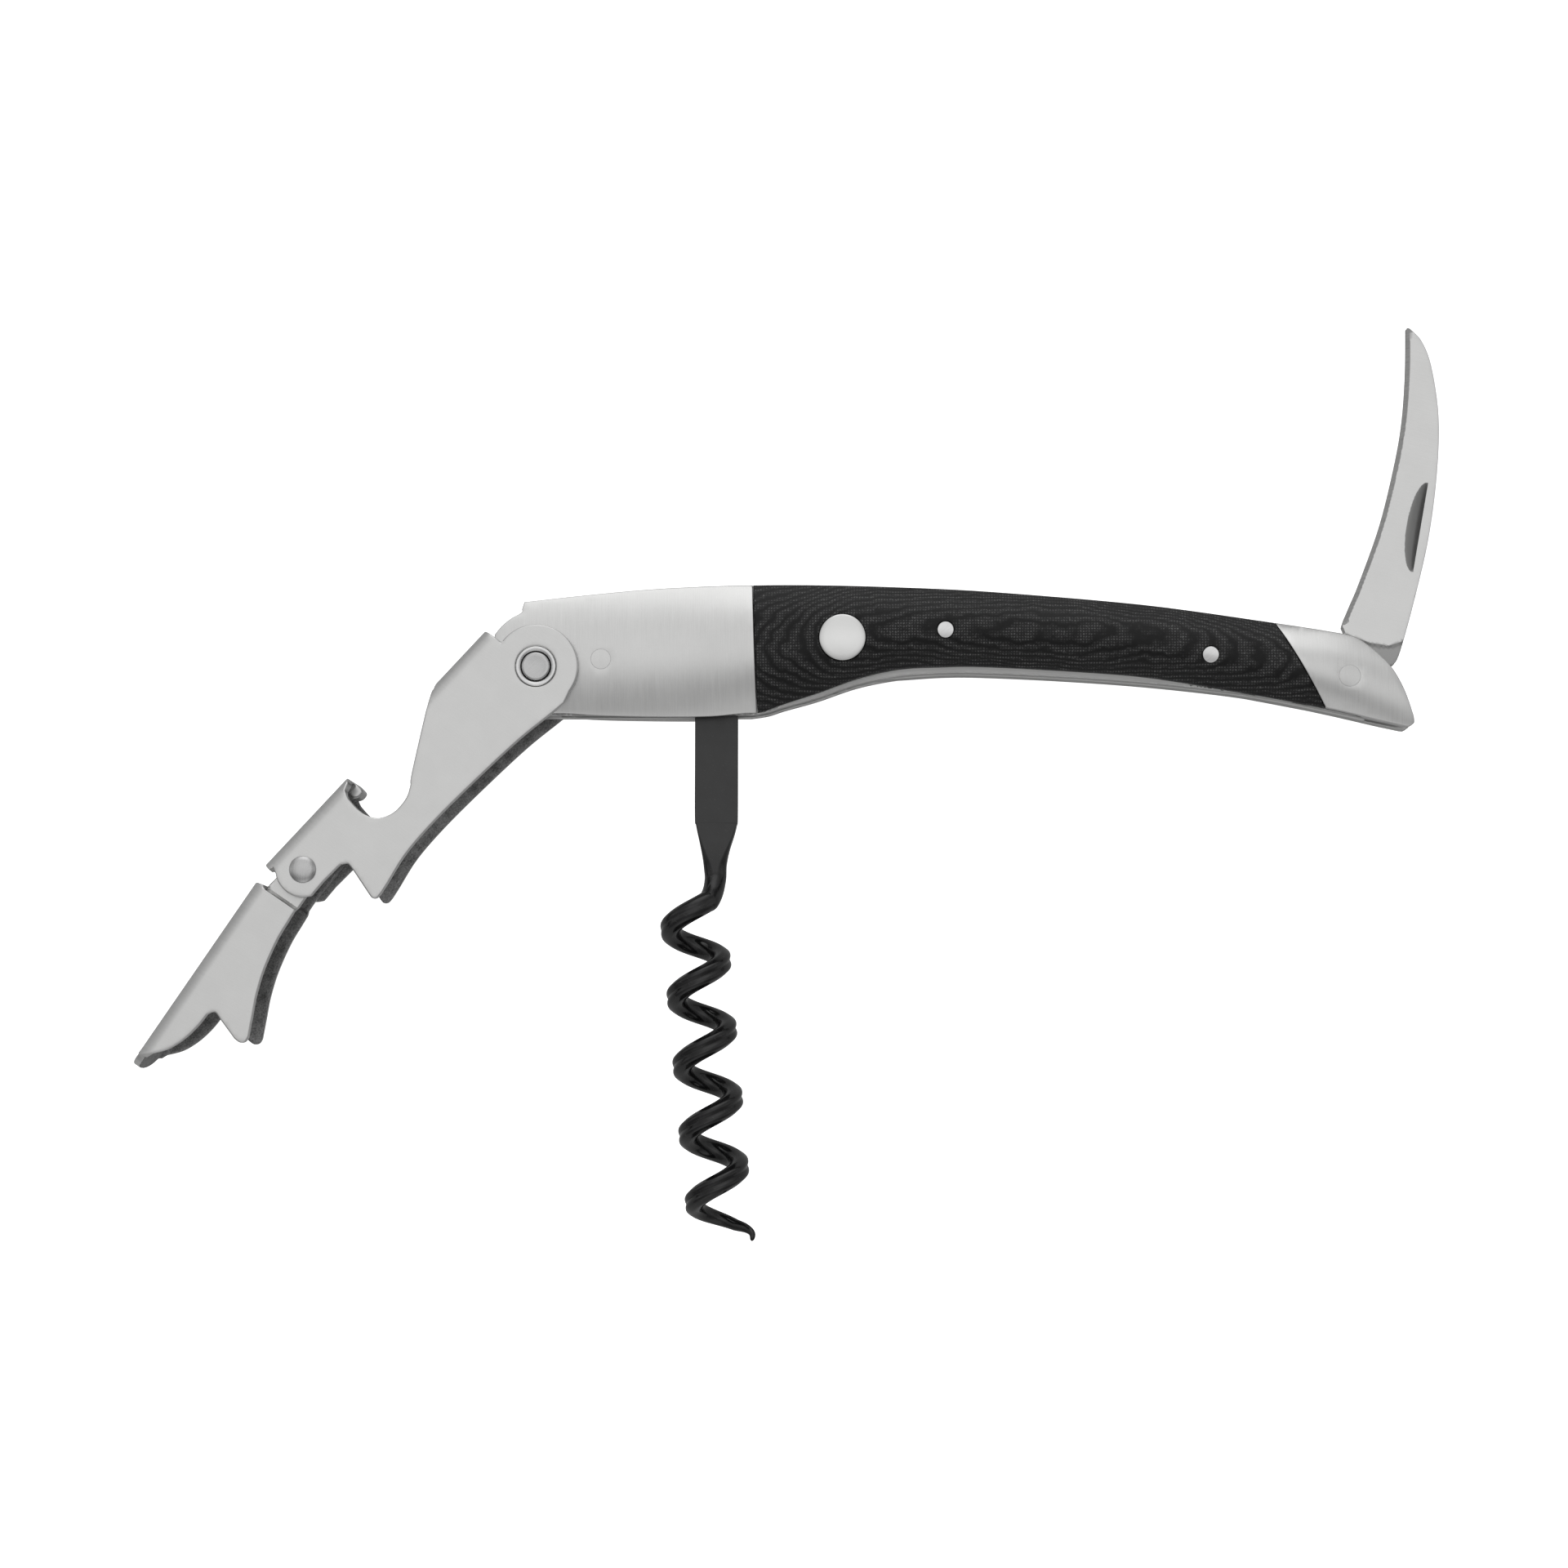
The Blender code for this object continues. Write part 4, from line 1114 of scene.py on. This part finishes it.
def worm(per_turn=56, sides=72):
    """The worm, swept along its route from the flat shank to the point."""
    route = smoothed_route(worm_route(per_turn), head=12, steps=6)
    points, faces = [], []
    for i, (place, way, width, depth, corner, groove) in enumerate(route):
        before = route[max(0, i - 1)][0]
        after = route[min(len(route) - 1, i + 1)][0]
        ahead = (after - before).normalized()
        across = (way - ahead * way.dot(ahead)).normalized()
        up = ahead.cross(across)
        for x, y, angle in bar_section(width, depth, corner, sides):
            kept = flute(angle, groove)
            points.append(place + across * (x * kept) + up * (y * kept))
    for ring in range(len(route) - 1):
        for k in range(sides):
            j = (k + 1) % sides
            a, b = ring * sides, (ring + 1) * sides
            faces.append((a + k, a + j, b + j, b + k))
    faces.append(tuple(range(sides))[::-1])
    last = (len(route) - 1) * sides
    faces.append(tuple(range(last, last + sides)))
    shape = (np.array([tuple(p) for p in points]), faces)
    add("look_worm", shape, WORM, "worm", COATED, ("worm",), 50)


def worm_pivot_pin():
    """The plain pin through the liners on which the worm turns."""
    pin = ((0, -LINER_OUT), (WORM_PIN_R, -LINER_OUT), (WORM_PIN_R, LINER_OUT), (0, LINER_OUT))
    add("look_worm_pivot_pin", lathe(WORM_PIVOT, pin, 32), HANDLE, "handle", PIN, ("worm_pivot_pin",),
        50)


# ---------------------------------------------------------------- foil blade

SPINE = smooth([(1.9, -6.2), (3.7, -7.1), (11.4, -9.22), (19.0, -10.95), (27.3, -12.04),
                (34.7, -12.29), (41.3, -11.4), (44.7, -10.15), (46.3, -8.7)])
TIP = smooth([(46.3, -8.7), (46.55, -8.35), (46.3, -8.1)], 4)[1:-1]
EDGE_LINE = smooth([(46.3, -8.1), (40.4, -8.0), (34.0, -7.5), (28.1, -6.45), (20.3, -4.5), (12.9, -1.85),
                    (9.8, -0.55), (7.7, 0.35)])
HEEL = [(6.9, 0.5), (6.2, 0.2)]
TANG_R = 3.55
EDGE = np.array(EDGE_LINE)
EDGE_HALF = 0.1
BEVEL = 0.5
BEVEL_LOSS = 0.22        # what the ground bevel and the edge take off the blade's half thickness
NICK_START = np.array((25.9, -10.75))
NICK_END = np.array((14.1, -8.7))
NICK_LENGTH = np.linalg.norm(NICK_END - NICK_START)
NICK_ALONG = (NICK_END - NICK_START) / NICK_LENGTH
NICK_ACROSS = np.array((NICK_ALONG[1], -NICK_ALONG[0]))
NICK_BOW = 1.75
NICK_DEPTH = 0.62
NICK_LIP = 0.1
TANG_DROP = 0.16
TANG_STEP = 0.35
SHOULDER = ((-9.0, 6.4), (-8.2, 5.7), (-7.2, 4.9), (-5.6, 4.4), (-3.2, 4.75), (-0.7, 5.7), (1.5, 6.6))


def shoulder(v):
    """Where the blade's face ends and its tang starts, at a place across it."""
    return np.interp(v, [p[0] for p in SHOULDER], [p[1] for p in SHOULDER])


def edge_gap(places):
    """Distance from the cutting edge."""
    return edge_distance([np.concatenate((EDGE, EDGE[::-1]))], places)


def nick_depth(places):
    """How deep the nail nick is, and which places lie in it: steep at its straight rim, then rising."""
    offset = places - NICK_START
    t = offset @ NICK_ALONG / NICK_LENGTH
    b = offset @ NICK_ACROSS
    bow = NICK_BOW * np.sqrt(np.clip(1 - (2 * np.clip(t, 0, 1) - 1) ** 2, 0, 1))
    share = np.clip(b / np.maximum(bow, 0.02), 0, 1)
    within = (t > 0) & (t < 1) & (b > -NICK_LIP) & (b < bow)
    lip = np.clip((b + NICK_LIP) / 0.14, 0, 1)
    return np.where(within, lip * NICK_DEPTH * (bow / NICK_BOW) * (1 - share) ** 1.6, 0.0), within


def blade_half(x, y):
    """Half thickness of the blade: ground thin at its edge and tang, and a little thinner at the tip."""
    near = edge_gap(np.stack((x, y), 1))
    ground_share = np.clip(near / BEVEL, 0, 1)
    half = np.where(near < BEVEL, EDGE_HALF + (BLADE_HALF - BEVEL_LOSS) * ground_share, BLADE_HALF)
    half = half - TANG_DROP * np.clip((shoulder(y) - x) / TANG_STEP, 0, 1)
    return half - 0.1 * np.clip((x - 30) / 16, 0, 1)


def blade_top(x, y):
    return blade_half(x, y) - nick_depth(np.stack((x, y), 1))[0]


def blade_bottom(x, y):
    return -blade_half(x, y)


def blade_points():
    """Points along the nick, the shoulder and the bevel, where the blade's face changes."""
    curve = [NICK_START + NICK_ALONG * NICK_LENGTH * (1 - math.cos(math.pi * i / 60)) / 2
             + NICK_ACROSS * NICK_BOW * math.sin(math.pi * i / 60) for i in range(61)]
    rim = [NICK_START + NICK_ALONG * NICK_LENGTH * i / 90 for i in range(91)]
    low_rim = [p - NICK_ACROSS * NICK_LIP for p in rim]
    shoulder_line = [(shoulder(y) - drop, y) for y in np.arange(-8.6, 0.6, 0.2) for drop in (0.0, TANG_STEP)]
    bevel_line = np.concatenate([along_line(inset(EDGE[::-1], -BEVEL * share)[2:-2], 0.15)
                                 for share in (0.5, 0.96, 1.0, 1.12)])
    hollow = [NICK_START + NICK_ALONG * x + NICK_ACROSS * y for x in np.arange(0, NICK_LENGTH, 0.14)
              for y in np.arange(0.06, NICK_BOW, 0.12)]
    every = (*curve, *rim, *low_rim, *shoulder_line, *bevel_line, *hollow)
    return np.array([tuple(p) for p in every])


def blade():
    """The foil blade, with its face, edge, nick and tang each ground in their own way."""
    outline = SPINE + TIP + EDGE_LINE + HEEL + arc((0, 0), TANG_R, 66, 292, 40)
    hole = circle((0, 0), BLADE_PIN_R + PLAY)
    points, faces, _ = slab(outline, [hole], 0.35, 0.09, blade_top, blade_bottom, extra=blade_points())
    piece = add("look_foil_blade", (points, faces), BLADE, "blade",
                (BLADE_STEEL, EDGE_STEEL, NICK_STEEL, TANG_STEEL), ("foil_blade",), 30)
    centres = np.array([points[list(f)].mean(0) for f in faces])
    near = edge_gap(centres[:, :2])
    in_nick = nick_depth(centres[:, :2])[1] & (centres[:, 2] > 0.2)
    on_tang = centres[:, 0] < shoulder(centres[:, 1]) - 0.05
    for polygon, gap, nick, tang in zip(piece.data.polygons, near, in_nick, on_tang):
        polygon.material_index = 3 if tang else 2 if nick else 1 if gap < BEVEL - 0.02 else 0


# ---------------------------------------------------------------- studio

FLOOR_HALF = 6.0


def ground(name, height, made):
    """A large flat sheet of the floor, in metres."""
    corners = [(x * FLOOR_HALF, y * FLOOR_HALF, 0) for x, y in ((-1, -1), (1, -1), (1, 1), (-1, 1))]
    mesh = bpy.data.meshes.new(name)
    mesh.from_pydata(corners, [], [(0, 1, 2, 3)])
    mesh.materials.append(made)
    sheet = bpy.data.objects.new(name, mesh)
    bpy.context.scene.collection.objects.link(sheet)
    sheet.location = (0, 0, height)
    return sheet


def pale(name, tone, glow):
    """A matt material that also glows by itself."""
    look = Look(name, (tone, tone, tone), 0.9, 0.0)
    look.shader.inputs["Emission Color"].default_value = (1.0, 1.0, 1.0, 1.0)
    look.shader.inputs["Emission Strength"].default_value = glow
    return look.made


def floor():
    """A pale lit floor, and a greyer one under it for what the steel mirrors from below."""
    seen = ground("floor", -0.0002, pale("floor", 0.85, 1.0))
    seen.visible_glossy = False
    seen.visible_diffuse = False
    mirrored = ground("floor_mirrored", -0.0004, pale("floor_mirrored", 0.5, 0.1))
    mirrored.visible_camera = False


SKY_ALONG_Y = ((-1.0, 0.9), (-0.75, 0.58), (-0.48, 0.4), (-0.22, 0.5), (0.0, 0.9), (0.12, 1.0),
               (0.27, 0.79), (0.5, 0.83), (0.8, 1.25), (1.0, 1.8))
SKY_ACROSS_X = ((0.0, 1.0), (0.2, 1.0), (0.48, 0.66), (0.75, 0.55), (0.93, 0.8), (1.0, 0.8))
SKY_UP_Z = ((0.0, 0.7), (0.1, 0.65), (0.35, 0.8), (0.62, 1.0), (1.0, 1.0))


def sky():
    """Soft light from all round, as from a tent: bands along Y, darker sides along X, darker low down."""
    world = bpy.data.worlds.new("studio")
    bpy.context.scene.world = world
    world.use_nodes = True
    wiring = Wiring(world.node_tree)
    light = wiring.nodes["Background"]
    way = wiring.split(wiring.nodes.new("ShaderNodeTexCoord").outputs["Generated"])
    from_zero = wiring.maths("ADD", wiring.maths("MULTIPLY", way["Y"], 0.5), 0.5)
    along = wiring.ramp(from_zero, [(y * 0.5 + 0.5, level) for y, level in SKY_ALONG_Y])
    across = wiring.ramp(wiring.maths("ABSOLUTE", way["X"]), SKY_ACROSS_X)
    upward = wiring.ramp(way["Z"], SKY_UP_Z)
    wiring.links.new(wiring.maths("MULTIPLY", across, upward), light.inputs["Strength"])
    wiring.links.new(along, light.inputs["Color"])
    backdrop(wiring, light)


def backdrop(wiring, light):
    """Show plain white behind the tool, while the light on it stays as it is."""
    plain = wiring.nodes.new("ShaderNodeBackground")
    plain.inputs["Color"].default_value = (1.0, 1.0, 1.0, 1.0)
    seen = wiring.nodes.new("ShaderNodeLightPath")
    either = wiring.nodes.new("ShaderNodeMixShader")
    wiring.links.new(seen.outputs["Is Camera Ray"], either.inputs["Fac"])
    wiring.links.new(light.outputs["Background"], either.inputs[1])
    wiring.links.new(plain.outputs["Background"], either.inputs[2])
    wiring.links.new(either.outputs["Shader"], wiring.nodes["World Output"].inputs["Surface"])


CAMERA_PLACE = (46.47, -59.15, 525.0)
CAMERA_AIM = (32.33, -33.0, 0.0)
CAMERA_LENS = 91.77
CAMERA_SHIFT = (0.0, 0.0874)
CAMERA_ROLL = 0.0004


def camera():
    """A camera almost straight above the tool as it lies on its side."""
    data = bpy.data.cameras.new("camera")
    data.sensor_width = 36.0
    data.lens = CAMERA_LENS
    data.shift_x, data.shift_y = CAMERA_SHIFT
    thing = bpy.data.objects.new("camera", data)
    bpy.context.scene.collection.objects.link(thing)
    place = HANDLE @ (Vector(CAMERA_PLACE) * MM)
    aim = HANDLE @ (Vector(CAMERA_AIM) * MM)
    back = (place - aim).normalized()
    up = back.cross(Vector((math.cos(CAMERA_ROLL), math.sin(CAMERA_ROLL), 0.0))).normalized()
    facing = Matrix((up.cross(back), up, back)).transposed()
    thing.matrix_world = Matrix.Translation(place) @ facing.to_4x4()
    bpy.context.scene.camera = thing


floor()
sky()
camera()
handle_covers()
liners()
back_spring()
centre_spacer()
flush_pins()
medallion()
first_stage()
cap_tooth()
second_stage()
lever_pivot_pin()
lever_bushes()
step_rivet()
worm()
worm_pivot_pin()
blade()
bpy.context.scene.view_settings.view_transform = "Standard"
